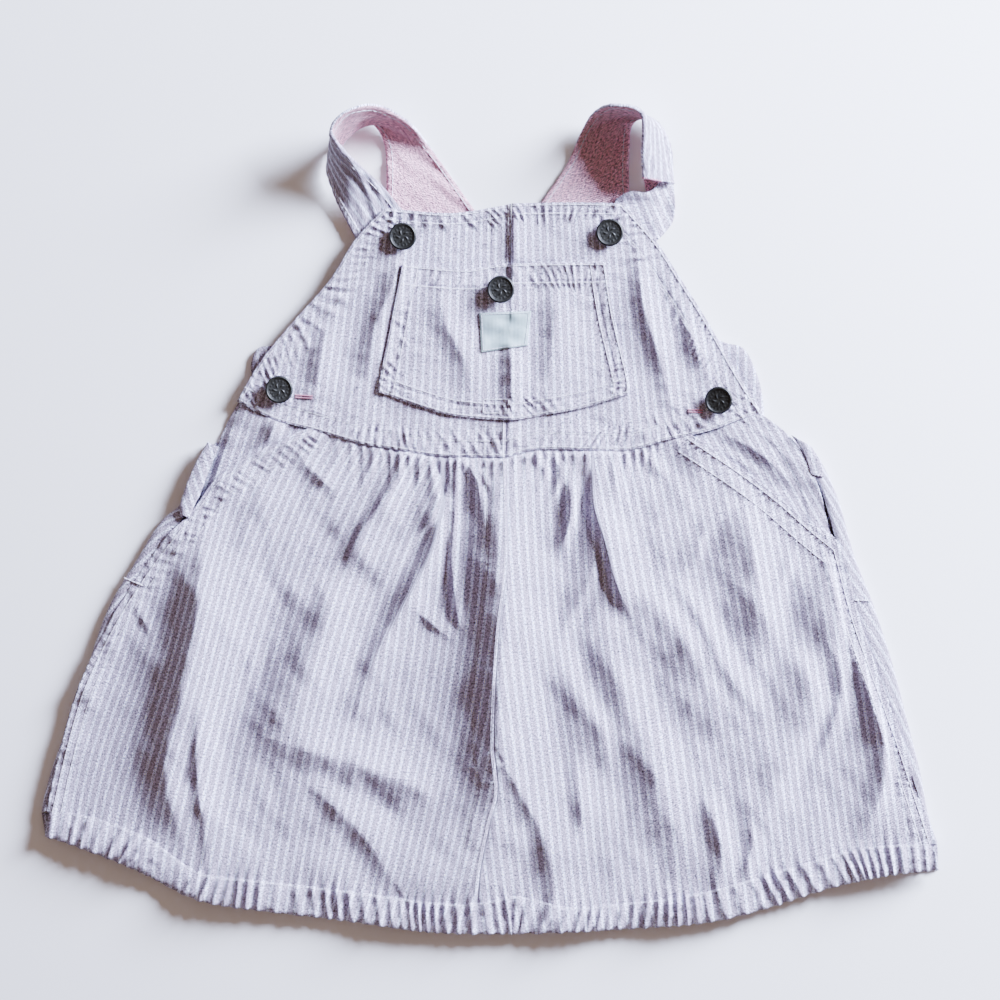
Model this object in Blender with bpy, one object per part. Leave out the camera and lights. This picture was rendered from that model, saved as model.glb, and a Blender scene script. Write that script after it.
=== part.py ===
"""A toddler's pinafore dress in striped cotton twill, buttoned up and laid flat on its back.

The skirt is a tube: the back panel lies on the surface and turns up round both sides to the
side seams, and the front panels lie on it in loose folds. The bib, its pocket, the straps
and the hem casings are cloth walls of their own. Sizes are millimetres; x is to the viewer's
right, y towards the straps and z up from the surface the dress lies on.
"""

import bpy
import numpy as np

MM = 0.001

# Cloth
CLOTH = 1.2            # twill wall
HEM = 0.9              # what a turned and stitched hem adds to the wall
STRAP = 1.8            # double cloth of the straps
CASING = 2.4           # hem casing with its elastic
GAP = 0.3              # between pieces at seams
HEM_WIDTH = 11.0       # turned edge of the bib's sides and the pocket openings
TOP_HEM_WIDTH = 6.5    # turned top edge of the bib
SEAM_WIDTH = 12.0      # felled seam down the centre front
WAIST_BAND = 9.5       # double row of stitching along the bib's lower edge

# Heights of the layers above the surface, outer side
FRONT_TOP = 4.6        # front panels where they lie flat
HEM_TOP = 5.2          # front panels at the hem casing
FACING_TOP = 2.8       # hip facings, under the pocket openings
BIB_TOP = 4.5          # bib over the back bib
BIB_CORNER_RISE = 1.5  # bib corners, over the strap ends
POCKET_LIFT = 0.8      # bib pocket's inner side above the bib
MAX_STEEP = 1.5        # how much thicker a wall is measured upright where it is steep

BACK_COLUMNS = 21      # of points across the back skirt and its hem, which meet along them

# Gathers
WAIST_GATHERS = 13     # in each half of the skirt, where it joins the bib
GATHER_DEPTH = 1.5
GATHER_FADE = 26.0     # distance over which the gathers open out
HEM_PUCKERS = 70       # across the front hem casing
PUCKER_DEPTH = 1.1

# Buttons
BUTTON_R = 7.0
BUTTON_H = 3.0

# Outlines, as points (x, y)
WAIST = [(-129, 60.5), (-109.5, 51), (-90.5, 46), (-66, 39), (-48, 36), (-25.5, 32.5), (8, 32), (26.5, 36),
         (68.5, 35.5), (88.5, 40.5), (101, 43), (113.5, 46), (131, 52.5), (139, 54.5)]
BIB_TOP_EDGE = [(-53.5, 159), (-20.5, 156.5), (4, 160), (18, 162), (41, 162), (67.5, 161.5)]
BIB_LEFT_EDGE = [(-53.5, 159), (-68.5, 143), (-81.5, 122.5), (-99.5, 102), (-116.5, 81.5), (-129, 60.5)]
BIB_RIGHT_EDGE = [(67.5, 161.5), (84, 143), (97.5, 122.5), (110.5, 102), (126.5, 74), (139, 54.5)]
BIB_SEAM = [(11, 161.5), (10, 120), (9, 80), (8, 32)]
SKIRT_SEAM = [(8.5, 32), (9, -20), (4.5, -61), (2, -111), (4, -138), (0, -155), (-5, -179), (-6.5, -196.5)]
SIDE_LEFT = [(-160.5, -6.5), (-175.5, -26.5), (-192.5, -53.5), (-208.5, -87.5), (-218.5, -122.5),
             (-224.5, -149)]
SIDE_RIGHT = [(176.5, -14.5), (187, -53.5), (202, -95), (210, -117.5), (217, -139), (225.5, -165.5)]
POCKET_OPENING_LEFT = [(-90.5, 46), (-115.5, 35), (-139, 20.5), (-149, 7.5), (-160.5, -6.5)]
POCKET_OPENING_RIGHT = [(101, 43), (116, 33), (130, 23.5), (147, 10.5), (162.5, -3), (176.5, -14.5)]
BACK_LEFT = [(-143.5, 39.5), (-150, 26.5), (-156.5, 10), (-168.5, -1.5), (-179.5, -19), (-195.5, -46.5),
             (-208.5, -84.5), (-219.5, -115), (-226, -135), (-229, -149.5 + 2 * GAP)]
BACK_RIGHT = [(153, 42.5), (165, 36), (177, 13), (186, -18), (195, -41), (205, -71.5), (213, -102),
              (220, -130), (223.5, -149.5), (228.5, -165.5 + 2 * GAP)]
BACK_WAIST = [(-143.5, 39.5), (-127, 39), (-90, 33), (-45, 28), (8, 26), (60, 28), (105, 33), (141, 41),
              (153, 42.5)]
LIP_LEFT = [(-141.5, 37), (-147.5, 22.5), (-154, 6.5)] + [(x - 0.9, y + 1) for x, y in SIDE_LEFT]
LIP_RIGHT = [(157, 36), (167, 20), (172.5, 4)] + [(x + 0.9, y + 1) for x, y in SIDE_RIGHT]
HEM_LINE = [(-229, -149.5), (-202.5, -153), (-176, -162.5), (-149, -180.5), (-117.5, -185), (-79, -189.5),
            (-30.5, -196), (-6.5, -196.5), (14, -193), (39, -198.5), (64.5, -197), (108.5, -191),
            (151.5, -179), (185, -169.5), (198.5, -167.5), (228.5, -165.5)]
HEM_EDGE = [(-227, -161.5), (-211.5, -166.5), (-181, -178.5), (-150.5, -193.5), (-120, -199), (-74, -204.5),
            (-28, -210.5), (18, -211), (64, -209), (109.5, -205.5), (140, -198.5), (171, -188.5),
            (201.5, -181.5), (229, -178.5)]
POCKET_TOP = [(-44.5, 130.5), (-24.5, 128.5), (-9.5, 128), (1.5, 130), (17.5, 131), (59, 131.5)]
POCKET_BOTTOM = [(-57.5, 65.5), (-34.5, 57.5), (-17.5, 53), (9.5, 51), (27.5, 53.5), (48.5, 57.5), (71, 64.5)]
POCKET_LEFT = [(-44.5, 130.5), (-57.5, 65.5)]
POCKET_RIGHT = [(59, 131.5), (63, 105.5), (70.5, 73.5), (71, 64.5)]
LABEL_CORNERS = [(-5.5, 105.5), (21, 106.5), (19, 89), (-4.5, 85.5)]

WAIST_CENTRE, HEM_CENTRE = WAIST.index((8, 32)), HEM_LINE.index((-6.5, -196.5))

# The skirt's folds: a crest from its upper to its lower end, as points (x, y, height), the
# reach of its steep western side and of its long eastern side, both in mm.
FOLDS = [
    ("left hip", [(-140, 21, 1.5), (-142, -20, 7.5), (-145, -51, 8.5), (-152, -82, 7.5), (-163, -108, 5.5),
                  (-168, -140, 3), (-159, -162, 1.5)], 11, 34),
    ("left inner", [(-146, -74, 0), (-147, -95, 2.6), (-150, -125, 2.6), (-149, -160, 0.8)], 8, 12),
    ("left pleat", [(-22, 22, 1.5), (-30, -5, 3.6), (-45, -36, 3.8), (-56, -61, 3), (-65, -87, 0.5)], 8, 18),
    ("left short pleat", [(-44, 30, 1.2), (-60, 3, 3), (-70, -20, 2.6), (-79, -41, 0.3)], 7, 13),
    ("left branch", [(-59, 10, 0.6), (-76, -3, 2.4), (-102, -26, 0.3)], 8, 10),
    ("left of seam", [(-15, 24, 1.0), (-15, -15, 2.8), (-17, -51, 0.6)], 4.5, 6),
    ("left hollow", [(-97, 18, 1), (-102, -20, 3), (-114, -61, 3.4), (-112, -95, 0.6)], 16, 16),
    ("lower left", [(-122, -110, 1), (-97, -116, 3.4), (-70, -124, 3.6), (-26, -140, 1)], 22, 16),
    ("left hem", [(-121, -128, 0.4), (-97, -146, 2.2), (-71, -168, 2.4), (-53, -188, 0.8)], 8, 12),
    ("centre", [(13, 27, 2), (13, -7, 7.0), (14, -43, 8.5), (11, -75, 9), (9, -100, 8.5), (10, -122, 6.5),
                (16, -138, 4.5), (25, -158, 4), (30, -175, 3.4), (32, -192, 2)], 24, 34),
    ("centre branch", [(23, -61, 0.5), (38, -87, 2.6), (51, -110, 2.2), (56, -128, 0.4)], 10, 10),
    ("first pleat", [(40, 30, 1.5), (41, 3, 3.0), (36, -22, 0.5)], 6, 6),
    ("second pleat", [(54, -5, 0.4), (51, -31, 2.2), (40, -51, 2), (32, -71, 0.3)], 8, 8),
    ("right pleat", [(61, 30, 1.5), (60, 5, 3.6), (65, -19, 4), (71, -34, 4.2), (85, -44, 4.4), (96, -57, 4),
                     (104, -80, 1)], 12, 14),
    ("right branch", [(90, -28, 0.3), (106, -47, 2.4), (114, -66, 2.6), (136, -87, 0.4)], 10, 10),
    ("right long", [(58, -41, 1), (60, -68, 3), (68, -88, 3.6), (76, -108, 4), (88, -132, 4.2),
                    (92, -151, 3.6), (89, -186, 1.2)], 12, 20),
    ("right hem", [(114, -150, 0.4), (123, -162, 2.8), (131, -172, 2.6), (133, -181, 1)], 11, 14),
    ("pocket crease", [(97, -10, 0.3), (111, 2, 2.0), (126, 12, 0.4)], 9, 9),
    ("lower crease", [(133, -41, 0.5), (145, -29, 2.4), (156, -18, 0.5)], 9, 9),
    ("right side", [(138, -60, 0.8), (152, -80, 4), (159, -96, 4.2), (152, -120, 3.6), (140, -140, 2.6),
                    (133, -157, 0.8)], 14, 11),
    ("right seam", [(170, -60, 1), (178, -83, 3.4), (178, -103, 3.2), (168, -122, 2.6),
                    (160, -140, 0.6)], 9, 10),
    ("right outer", [(184, -70, 0.4), (193, -102, 2.4), (199, -120, 2.6), (199, -140, 2),
                     (194, -160, 0.5)], 9, 8),
]
# The bib's soft folds, in the same columns
BIB_FOLDS = [
    ("left", [(-45, 138, 0.3), (-50, 118, 1.5), (-58, 98, 1.6), (-64, 70, 0.4)], 12, 12),
    ("left of pocket", [(-80, 104, 0.3), (-86, 84, 1.4), (-90, 60, 0.5)], 14, 12),
    ("pocket diagonal", [(-25, 126, 0.3), (-17, 102, 1.5), (-8, 84, 1.2), (-4, 62, 0.3)], 12, 14),
    ("pocket centre", [(22, 120, 0.3), (24, 96, 1.6), (22, 66, 0.5)], 11, 18),
    ("right of pocket", [(76, 140, 0.3), (78, 112, 1.6), (86, 84, 1.4), (92, 60, 0.5)], 10, 12),
    ("right", [(98, 112, 0.3), (104, 90, 1.4), (112, 72, 0.4)], 9, 9),
]
# The hip facings' folds, in the same columns
FACING_FOLDS = [
    ("left bulge", [(-126, 56, 1.6), (-129, 42, 2.4), (-134, 28, 1.8), (-142, 12, 0.6)], 7, 9),
    ("right first", [(112, 43, 1.2), (128, 34, 1.8), (143, 20, 1.4), (156, 6, 0.4)], 6, 5),
    ("right second", [(124, 48, 1.6), (134, 40, 2.2), (150, 24, 1.6), (164, 4, 0.6)], 6, 6),
]

# Straps: a row for each section, from the root at the back bib over the top to the front,
# with the two edges as (x, y, z) at the middle of the cloth
STRAP_LEFT = [
    ((8.3, 138, 0.9), (-52, 150.8, 0.9)),
    ((-8, 158.5, 0.9), (-53, 164, 0.9)),
    ((-28.5, 187.5, 1.2), (-53, 184, 0.9)),
    ((-42.5, 203.5, 14), (-55, 195, 1.2)),
    ((-57, 210, 23), (-60, 202.5, 1.6)),
    ((-67, 209.3, 27), (-65.5, 201.5, 2)),
    ((-75.5, 205.5, 27), (-72.5, 197, 2)),
    ((-80, 197.5, 26), (-76, 191, 2)),
    ((-75, 189, 24), (-81, 187, 2.4)),
    ((-67, 181, 18), (-82.5, 179, 2.6)),
    ((-56, 171.5, 7), (-80.5, 169, 2.8)),
    ((-47, 161, 3.3), (-75, 156, 3)),
    ((-40, 151, 3.3), (-67.5, 142, 3.2)),
    ((-33, 141, 3.3), (-59, 131, 3.3)),
]
STRAP_RIGHT = [
    ((9.7, 138, 0.9), (68, 150.8, 0.9)),
    ((26, 162, 0.9), (71, 164, 0.9)),
    ((33, 172, 0.9), (71, 173, 0.9)),
    ((40, 183, 1.2), (71, 184, 0.9)),
    ((46, 197, 4), (71.4, 194, 1.0)),
    ((52, 206.5, 10), (72, 199.5, 1.5)),
    ((60, 210.3, 19), (73.5, 202.5, 2)),
    ((70, 210, 25), (76, 204.5, 2.2)),
    ((76.5, 206.5, 26), (82, 205, 2.2)),
    ((77.2, 197, 23), (89, 199, 2.4)),
    ((77.4, 185, 19), (92.5, 186, 3)),
    ((77.6, 174.5, 14), (94, 171.5, 4.2)),
]
FOLD_RIGHT_TOP = [(64.5, 164), (71.5, 167.5), (80.5, 166.5), (93.3, 172)]
FOLD_RIGHT_BOTTOM = [(57, 140), (66, 134), (76, 134)]
FOLD_RIGHT_OUTER = [(93.3, 172), (94.5, 157.5), (90.5, 148), (76, 134)]
FOLD_RIGHT_INNER = [(64.5, 164), (60, 150), (57, 140)]

# Buttons: centre, and how far the top leans towards x and y
BUTTONS = [
    ("button_strap_left", (-44.5, 144.5), (0.0, 0.0)),
    ("button_strap_right", (61.0, 146.5), (0.0, 0.0)),
    ("button_pocket", (5.5, 117.5), (0.0, 0.0)),
    ("button_side_left", (-107.5, 66.5), (-0.08, 0.0)),
    ("button_side_right", (116.5, 61.0), (0.16, 0.12)),
]
# A button's turned profile, from its foot over the rim to the middle of the cap
BUTTON_PROFILE = [(4.6, 0.0), (BUTTON_R, 0.9), (BUTTON_R, 2.3), (6.3, BUTTON_H), (5.4, 2.5), (2.6, 2.8)]


# ---- curves and surfaces ----

def curve(points, count):
    """Samples a smooth curve through the points, evenly along its length."""
    points = np.asarray(points, float)
    if len(points) > 2:
        ends = np.vstack([2 * points[0] - points[1], points, 2 * points[-1] - points[-2]])
        t = np.linspace(0, 1, 12, endpoint=False)[:, None]
        spans = []
        for a, b, c, d in zip(ends, ends[1:], ends[2:], ends[3:]):
            spans.append(0.5 * (2 * b + (c - a) * t + (2 * a - 5 * b + 4 * c - d) * t**2
                                + (3 * b - a - 3 * c + d) * t**3))
        points = np.vstack(spans + [points[-1:]])
    length = np.concatenate([[0], np.cumsum(np.linalg.norm(np.diff(points, axis=0), axis=1))])
    at = np.linspace(0, length[-1], count)
    return np.stack([np.interp(at, length, column) for column in points.T], axis=1)


def patch(top, bottom, left, right, rows, cols):
    """A grid of points between four edges, rows from top to bottom and columns left to right."""
    top, bottom = curve(top, cols), curve(bottom, cols)
    left, right = curve(left, rows), curve(right, rows)
    v = np.linspace(0, 1, rows)[:, None, None]
    u = np.linspace(0, 1, cols)[None, :, None]
    corners = ((1 - v) * ((1 - u) * left[0] + u * right[0]) + v * ((1 - u) * left[-1] + u * right[-1]))
    return (1 - v) * top[None] + v * bottom[None] + (1 - u) * left[:, None] + u * right[:, None] - corners


def nearest(x, y, path):
    """Distance from each point to a path, the side it is on and the path's third value there."""
    best = np.full(np.shape(x), np.inf)
    side, value = np.zeros_like(best), np.zeros_like(best)
    path = np.asarray(path, float)
    for a, b in zip(path, path[1:]):
        dx, dy = b[0] - a[0], b[1] - a[1]
        t = np.clip(((x - a[0]) * dx + (y - a[1]) * dy) / (dx * dx + dy * dy), 0, 1)
        away = np.hypot(x - a[0] - t * dx, y - a[1] - t * dy)
        closer = away < best
        best = np.where(closer, away, best)
        side = np.where(closer, dx * (y - a[1]) - dy * (x - a[0]), side)
        if path.shape[1] > 2:
            value = np.where(closer, a[2] + t * (b[2] - a[2]), value)
    return best, side, value


def fold_height(x, y, folds):
    """Height that the folds add: each a rounded crest with a steep and a long side."""
    total = np.zeros(np.shape(x))
    for _, crest, west, east in folds:
        away, side, height = nearest(x, y, crest)
        s = away / np.where(side > 0, east, west)
        s = np.sqrt(s * s + 0.03) - 0.17
        total += (height * np.clip(1 - s, 0, 1) ** 1.6) ** 2.5
    return total ** 0.4


def ramp(value, start, end):
    """Runs smoothly from 0 at start to 1 at end."""
    t = np.clip((value - start) / (end - start), 0, 1)
    return t * t * (3 - 2 * t)


def waist_y(x):
    xs, ys = zip(*WAIST)
    return np.interp(x, xs, ys)


def skirt_top(x, y):
    """Outer side of the front skirt, without its gathers."""
    side_left, side_right = nearest(x, y, SIDE_LEFT)[0], nearest(x, y, SIDE_RIGHT)[0]
    openings = np.minimum(nearest(x, y, POCKET_OPENING_LEFT)[0], nearest(x, y, POCKET_OPENING_RIGHT)[0])
    calm = ramp(np.minimum(side_left, side_right), 2, 16) * ramp(openings, 1, 10)
    base = FRONT_TOP + (HEM_TOP - FRONT_TOP) * ramp(-y, 100, 180)
    return base + calm * fold_height(x, y, FOLDS)


def bib_flat(x, y):
    """Outer side of the bib's cloth without its folds and hems, raised over the strap ends."""
    corner = np.minimum(np.hypot(x + 50, y - 150), np.hypot(x - 70, y - 150))
    return BIB_TOP + BIB_CORNER_RISE * (1 - ramp(corner, 28, 60))


def bib_folds(x, y):
    edges = np.minimum(nearest(x, y, BIB_LEFT_EDGE)[0], nearest(x, y, BIB_RIGHT_EDGE)[0])
    return ramp(edges, 2, 12) * fold_height(x, y, BIB_FOLDS)


def hem_at(distance, width):
    """Extra thickness of a turned edge at a distance from the edge."""
    return HEM * (1 - ramp(distance, width - 1.5, width + 1.5))


def steepness(top, x, y):
    """How much longer an upright line through a sloping wall is than the wall is thick."""
    step = 0.5
    slope_x = (top(x + step, y) - top(x - step, y)) / (2 * step)
    slope_y = (top(x, y + step) - top(x, y - step)) / (2 * step)
    return np.minimum(np.sqrt(1 + slope_x**2 + slope_y**2), MAX_STEEP)


# ---- solids ----

def material(name, colour, roughness, metallic=0.0):
    made = bpy.data.materials.new(name)
    made.use_nodes = True
    shader = made.node_tree.nodes["Principled BSDF"]
    shader.inputs["Base Color"].default_value = (*colour, 1)
    shader.inputs["Roughness"].default_value = roughness
    shader.inputs["Metallic"].default_value = metallic
    return made


def solid(name, points, faces, colour, roughness, metallic=0.0):
    """One closed body as a named object, with its own material."""
    mesh = bpy.data.meshes.new(name)
    corners = points[np.array(faces)]
    volume = np.einsum("ij,ij->i", corners[:, 0], np.cross(corners[:, 1], corners[:, 2])).sum()
    if volume < 0:
        faces = [face[::-1] for face in faces]
    mesh.from_pydata((points * MM).tolist(), [], faces)
    mesh.materials.append(material(name, colour, roughness, metallic))
    mesh.shade_smooth()
    mesh.set_sharp_from_angle(angle=0.9)
    body = bpy.data.objects.new(name, mesh)
    bpy.context.collection.objects.link(body)
    return body


def wall(name, outer, inner, colour=(0.72, 0.66, 0.76), roughness=0.9):
    """A cloth wall between two grids of points, closed round its four edges."""
    rows, cols = outer.shape[:2]
    index = np.arange(rows * cols).reshape(rows, cols)
    back = index + rows * cols
    faces = []
    for r in range(rows - 1):
        for c in range(cols - 1):
            a, b, d, e = index[r, c], index[r + 1, c], index[r + 1, c + 1], index[r, c + 1]
            faces += [(a, b, d), (a, d, e)]
            a, b, d, e = back[r, c], back[r + 1, c], back[r + 1, c + 1], back[r, c + 1]
            faces += [(a, d, b), (a, e, d)]
    rim = list(index[0, :-1]) + list(index[:-1, -1]) + list(index[-1, :0:-1]) + list(index[:0:-1, 0])
    for a, b in zip(rim, rim[1:] + rim[:1]):
        low_a, low_b = a + rows * cols, b + rows * cols
        faces += [(a, b, low_b), (a, low_b, low_a)]
    points = np.concatenate([outer.reshape(-1, 3), inner.reshape(-1, 3)])
    faces = [tuple(int(i) for i in face) for face in faces]
    return solid(name, points, faces, colour, roughness)


def panel(name, grid, top, extra, **look):
    """A panel over a flat grid: outer side at top + extra, inner side a wall's thickness below."""
    x, y = grid[..., 0], grid[..., 1]
    z = top(x, y)
    under = np.maximum(z - CLOTH * steepness(top, x, y), CLOTH + GAP)
    wall(name, np.dstack([grid, z + extra]), np.dstack([grid, under]), **look)


def ribbon(name, sections, rows, cols, thickness, **look):
    """A band of cloth through sections that give its two edges at the middle of the cloth."""
    one = curve([edge for edge, _ in sections], rows)
    two = curve([edge for _, edge in sections], rows)
    across = np.linspace(0, 1, cols)[None, :, None]
    middle = one[:, None] * (1 - across) + two[:, None] * across
    normal = np.cross(np.gradient(middle, axis=0), np.gradient(middle, axis=1))
    normal /= np.linalg.norm(normal, axis=-1, keepdims=True)
    outer, inner = middle + normal * thickness / 2, middle - normal * thickness / 2
    outer[..., 2] = np.maximum(outer[..., 2], 0)
    inner[..., 2] = np.maximum(inner[..., 2], 0)
    return wall(name, outer, inner, **look)


def turned(name, profile, centre, height, lean, sides, colour, roughness, metallic):
    """A turned solid standing at a height over a point, leaning a little."""
    angles = np.linspace(0, 2 * np.pi, sides, endpoint=False)
    rings = np.array([[(r * np.cos(a), r * np.sin(a), z) for a in angles] for r, z in profile])
    points = np.vstack([rings.reshape(-1, 3), [(0, 0, profile[0][1]), (0, 0, profile[-1][1])]])
    points[:, 2] += points[:, 0] * lean[0] + points[:, 1] * lean[1]
    points += (*centre, height)
    foot, tip = len(points) - 2, len(points) - 1
    last = (len(profile) - 1) * sides
    faces = []
    for i in range(sides):
        j = (i + 1) % sides
        faces += [(foot, j, i), (tip, last + i, last + j)]
        for ring in range(0, last, sides):
            faces += [(ring + i, ring + j, ring + sides + j), (ring + i, ring + sides + j, ring + sides + i)]
    return solid(name, points, faces, colour, roughness, metallic)


# ---- the dress ----

def back_skirt(rows=19, cols=BACK_COLUMNS):
    """Lies on the surface and turns up round both sides to the side seams."""
    flat = patch(BACK_WAIST, shifted(HEM_LINE, 2 * GAP), BACK_LEFT, BACK_RIGHT, rows, cols)
    angles = np.radians([90, 50, 10, -30, -60, -90])
    sections = []
    for thickness in (0, CLOTH):
        sides = []
        for edge, lip in ((flat[:, 0], curve(LIP_LEFT, rows)), (flat[:, -1], curve(LIP_RIGHT, rows))):
            inwards = lip - edge
            reach = np.linalg.norm(inwards, axis=1)
            inwards /= reach[:, None]
            top = FRONT_TOP + (HEM_TOP - FRONT_TOP) * ramp(-lip[:, 1], 100, 180)
            turn = np.minimum(4.0, 0.72 * reach)
            points = [np.column_stack([lip, top - thickness])]
            middle = edge + inwards * (0.5 * (turn + reach))[:, None]
            points.append(np.column_stack([middle, top - thickness]))
            for angle in angles:
                in_by = turn - (turn - thickness) * np.cos(angle)
                z = top / 2 + (top / 2 - thickness) * np.sin(angle)
                points.append(np.column_stack([edge + inwards * in_by[:, None], z]))
            sides.append(np.stack(points, axis=1))
        bottom = np.dstack([flat[:, 1:-1], np.full((rows, cols - 2, 1), float(thickness))])
        sections.append(np.concatenate([sides[0], bottom, sides[1][:, ::-1]], axis=1))
    wall("back_skirt", sections[0], sections[1])


def shifted(points, up):
    return [(x, y + up) for x, y in points]


def back_hem(cols=BACK_COLUMNS):
    """Casing of the back hem, flat where it lies and swollen by its elastic above."""
    grid = patch(HEM_LINE, HEM_EDGE, [HEM_LINE[0], HEM_EDGE[0]], [HEM_LINE[-1], HEM_EDGE[-1]], 4, cols)
    height = CASING + np.array([[-0.5], [0.2], [0.2], [-0.5]]) * np.ones(cols)
    wall("hem_back", np.dstack([grid, height]), np.dstack([grid, 0 * height]))


def back_bib():
    """Back yoke, whose armhole curves show beside the front bib's lower corners."""
    top = [(-52, 150.3), (-21.5, 143.8), (9, 137.3), (38.5, 143.8), (68, 150.3)]
    bottom = shifted(BACK_WAIST[1:-1], 3 * GAP)
    left = [(-52, 150.3), (-64, 126), (-88, 103), (-108, 90), (-118, 88), (-122, 80), (-122, 68), bottom[0]]
    right = [(68, 150.3), (79, 126), (99, 106), (117, 92), (129, 88), (135, 78), (139, 64), bottom[-1]]
    grid = patch(top, bottom, left, right, 10, 15)
    wall("bib_back", np.dstack([grid, np.full(grid.shape[:2], CLOTH)]),
         np.dstack([grid, np.zeros(grid.shape[:2])]))


def skirt_front(rows=25, cols=2 * WAIST_GATHERS + 1):
    """Two halves, gathered to the bib and joined at the centre front by a felled seam."""
    halves = [
        ("skirt_front_left", WAIST[2:WAIST_CENTRE + 1], [SIDE_LEFT[-1]] + HEM_LINE[1:HEM_CENTRE + 1],
         POCKET_OPENING_LEFT[:-1] + SIDE_LEFT, SKIRT_SEAM, POCKET_OPENING_LEFT),
        ("skirt_front_right", WAIST[WAIST_CENTRE:11], HEM_LINE[HEM_CENTRE:15] + [SIDE_RIGHT[-1]],
         SKIRT_SEAM, POCKET_OPENING_RIGHT[:-1] + SIDE_RIGHT, POCKET_OPENING_RIGHT),
    ]
    for name, waist, hem, left, right, opening in halves:
        grid = patch(shifted(waist, -2 * GAP), shifted(hem, GAP), left, right, rows, cols)
        carries_seam = right is SKIRT_SEAM
        grid[..., 0] += -GAP / 2 if carries_seam else GAP / 2
        x, y = grid[..., 0], grid[..., 1]
        u = np.linspace(0, 1, cols)[None, :]
        below = np.maximum(waist_y(x) - y, 0)
        drawn = ramp(np.abs(np.clip(x, -75, 80) - x), 12, 0) * np.exp(-below / GATHER_FADE)
        gathers = GATHER_DEPTH * drawn * (0.5 - 0.5 * np.cos(2 * np.pi * WAIST_GATHERS * u))
        extra = gathers + hem_at(nearest(x, y, opening)[0], HEM_WIDTH)
        if carries_seam:
            extra = extra + hem_at(nearest(x, y, SKIRT_SEAM)[0], SEAM_WIDTH)
        panel(name, grid, skirt_top, extra)


def front_hem(cols=2 * HEM_PUCKERS + 1):
    """Casing of the front hem, puckered by its elastic."""
    left, right = (SIDE_LEFT[-1], HEM_EDGE[0]), (SIDE_RIGHT[-1], HEM_EDGE[-1])
    line = [left[0]] + HEM_LINE[1:-1] + [right[0]]
    grid = patch(shifted(line, -GAP), HEM_EDGE, left, right, 4, cols)
    swell = np.array([[0.06], [0.6], [0.6], [0.06]])
    pucker = np.where(np.arange(cols) % 2, 0.0, PUCKER_DEPTH) * np.array([[0.6], [1], [1], [0.8]])
    z = skirt_top(grid[..., 0], grid[..., 1]) + swell + pucker
    under = np.maximum(z - CASING - swell - 0.3 * pucker, CASING + 2 * GAP)
    wall("hem_front", np.dstack([grid, np.maximum(z, under + CLOTH)]), np.dstack([grid, under]))


def hip_facings():
    """Cloth behind the slanted pocket openings, up to the bib and out to the side."""
    left = patch([(-128.6, 60), (-109.5, 50.6), (-91.5, 45.9)], [(-149.5, 2), (-147, 0), (-145, -2)],
                 [(-128.6, 60), (-133.5, 46), (-136.5, 30.5), (-143, 12), (-149.5, 2)],
                 [(-91.5, 45.9), (-97, 38), (-118, 28), (-134, 14), (-145, -2)], 12, 8)
    right = patch([(101.8, 42.4), (113.5, 45.5), (131, 52), (138.6, 54)],
                  [(160, -10), (168, -13), (175.5, -14.6)],
                  [(101.8, 42.4), (106, 34), (124, 20), (144, 3), (160, -10)],
                  [(138.6, 54), (149, 43), (155.5, 33), (164.8, 16), (175.5, -14.6)], 14, 9)
    for name, grid, opening, outer_side in (("hip_facing_left", left, POCKET_OPENING_LEFT, -1),
                                            ("hip_facing_right", right, POCKET_OPENING_RIGHT, 1)):
        away, side, _ = nearest(grid[..., 0], grid[..., 1], opening)
        showing = ramp(away * np.sign(side) * outer_side, 0.5, 6)
        z = FACING_TOP + showing * fold_height(grid[..., 0], grid[..., 1], FACING_FOLDS)
        wall(name, np.dstack([grid, z]), np.dstack([grid, z - CLOTH]))


def plackets():
    """Side placket ends: a rounded tongue at the left and a turned end at the right."""
    left = patch([(-144, 40), (-139.5, 37)], [(-158, 3), (-155.5, 2)],
                 [(-144, 40), (-151.5, 26), (-157.5, 10), (-158, 3)],
                 [(-139.5, 37), (-145, 25), (-149.5, 14), (-153, 7), (-155.5, 2)], 8, 4)
    crown = np.array([0.0, 1.0, 1.0, 0.0])[None, :] * np.linspace(0.4, 1, 8)[:, None]
    low = FRONT_TOP + GAP + 0.1
    wall("placket_left", np.dstack([left, low + 1.1 + 1.3 * crown]), np.dstack([left, low + 1.2 * crown]))
    right = patch([(153.5, 43.5), (164, 37.5)], [(164, 23), (170, 22)], [(153.5, 43.5), (160, 34), (164, 23)],
                  [(164, 37.5), (169, 29), (170, 22)], 5, 4)
    crown = np.array([0.0, 1.0, 1.0, 0.0])[None, :] * np.linspace(1, 0.3, 5)[:, None]
    wall("placket_right", np.dstack([right, low + 1.1 + 1.0 * crown]), np.dstack([right, low + 0.9 * crown]))


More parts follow.
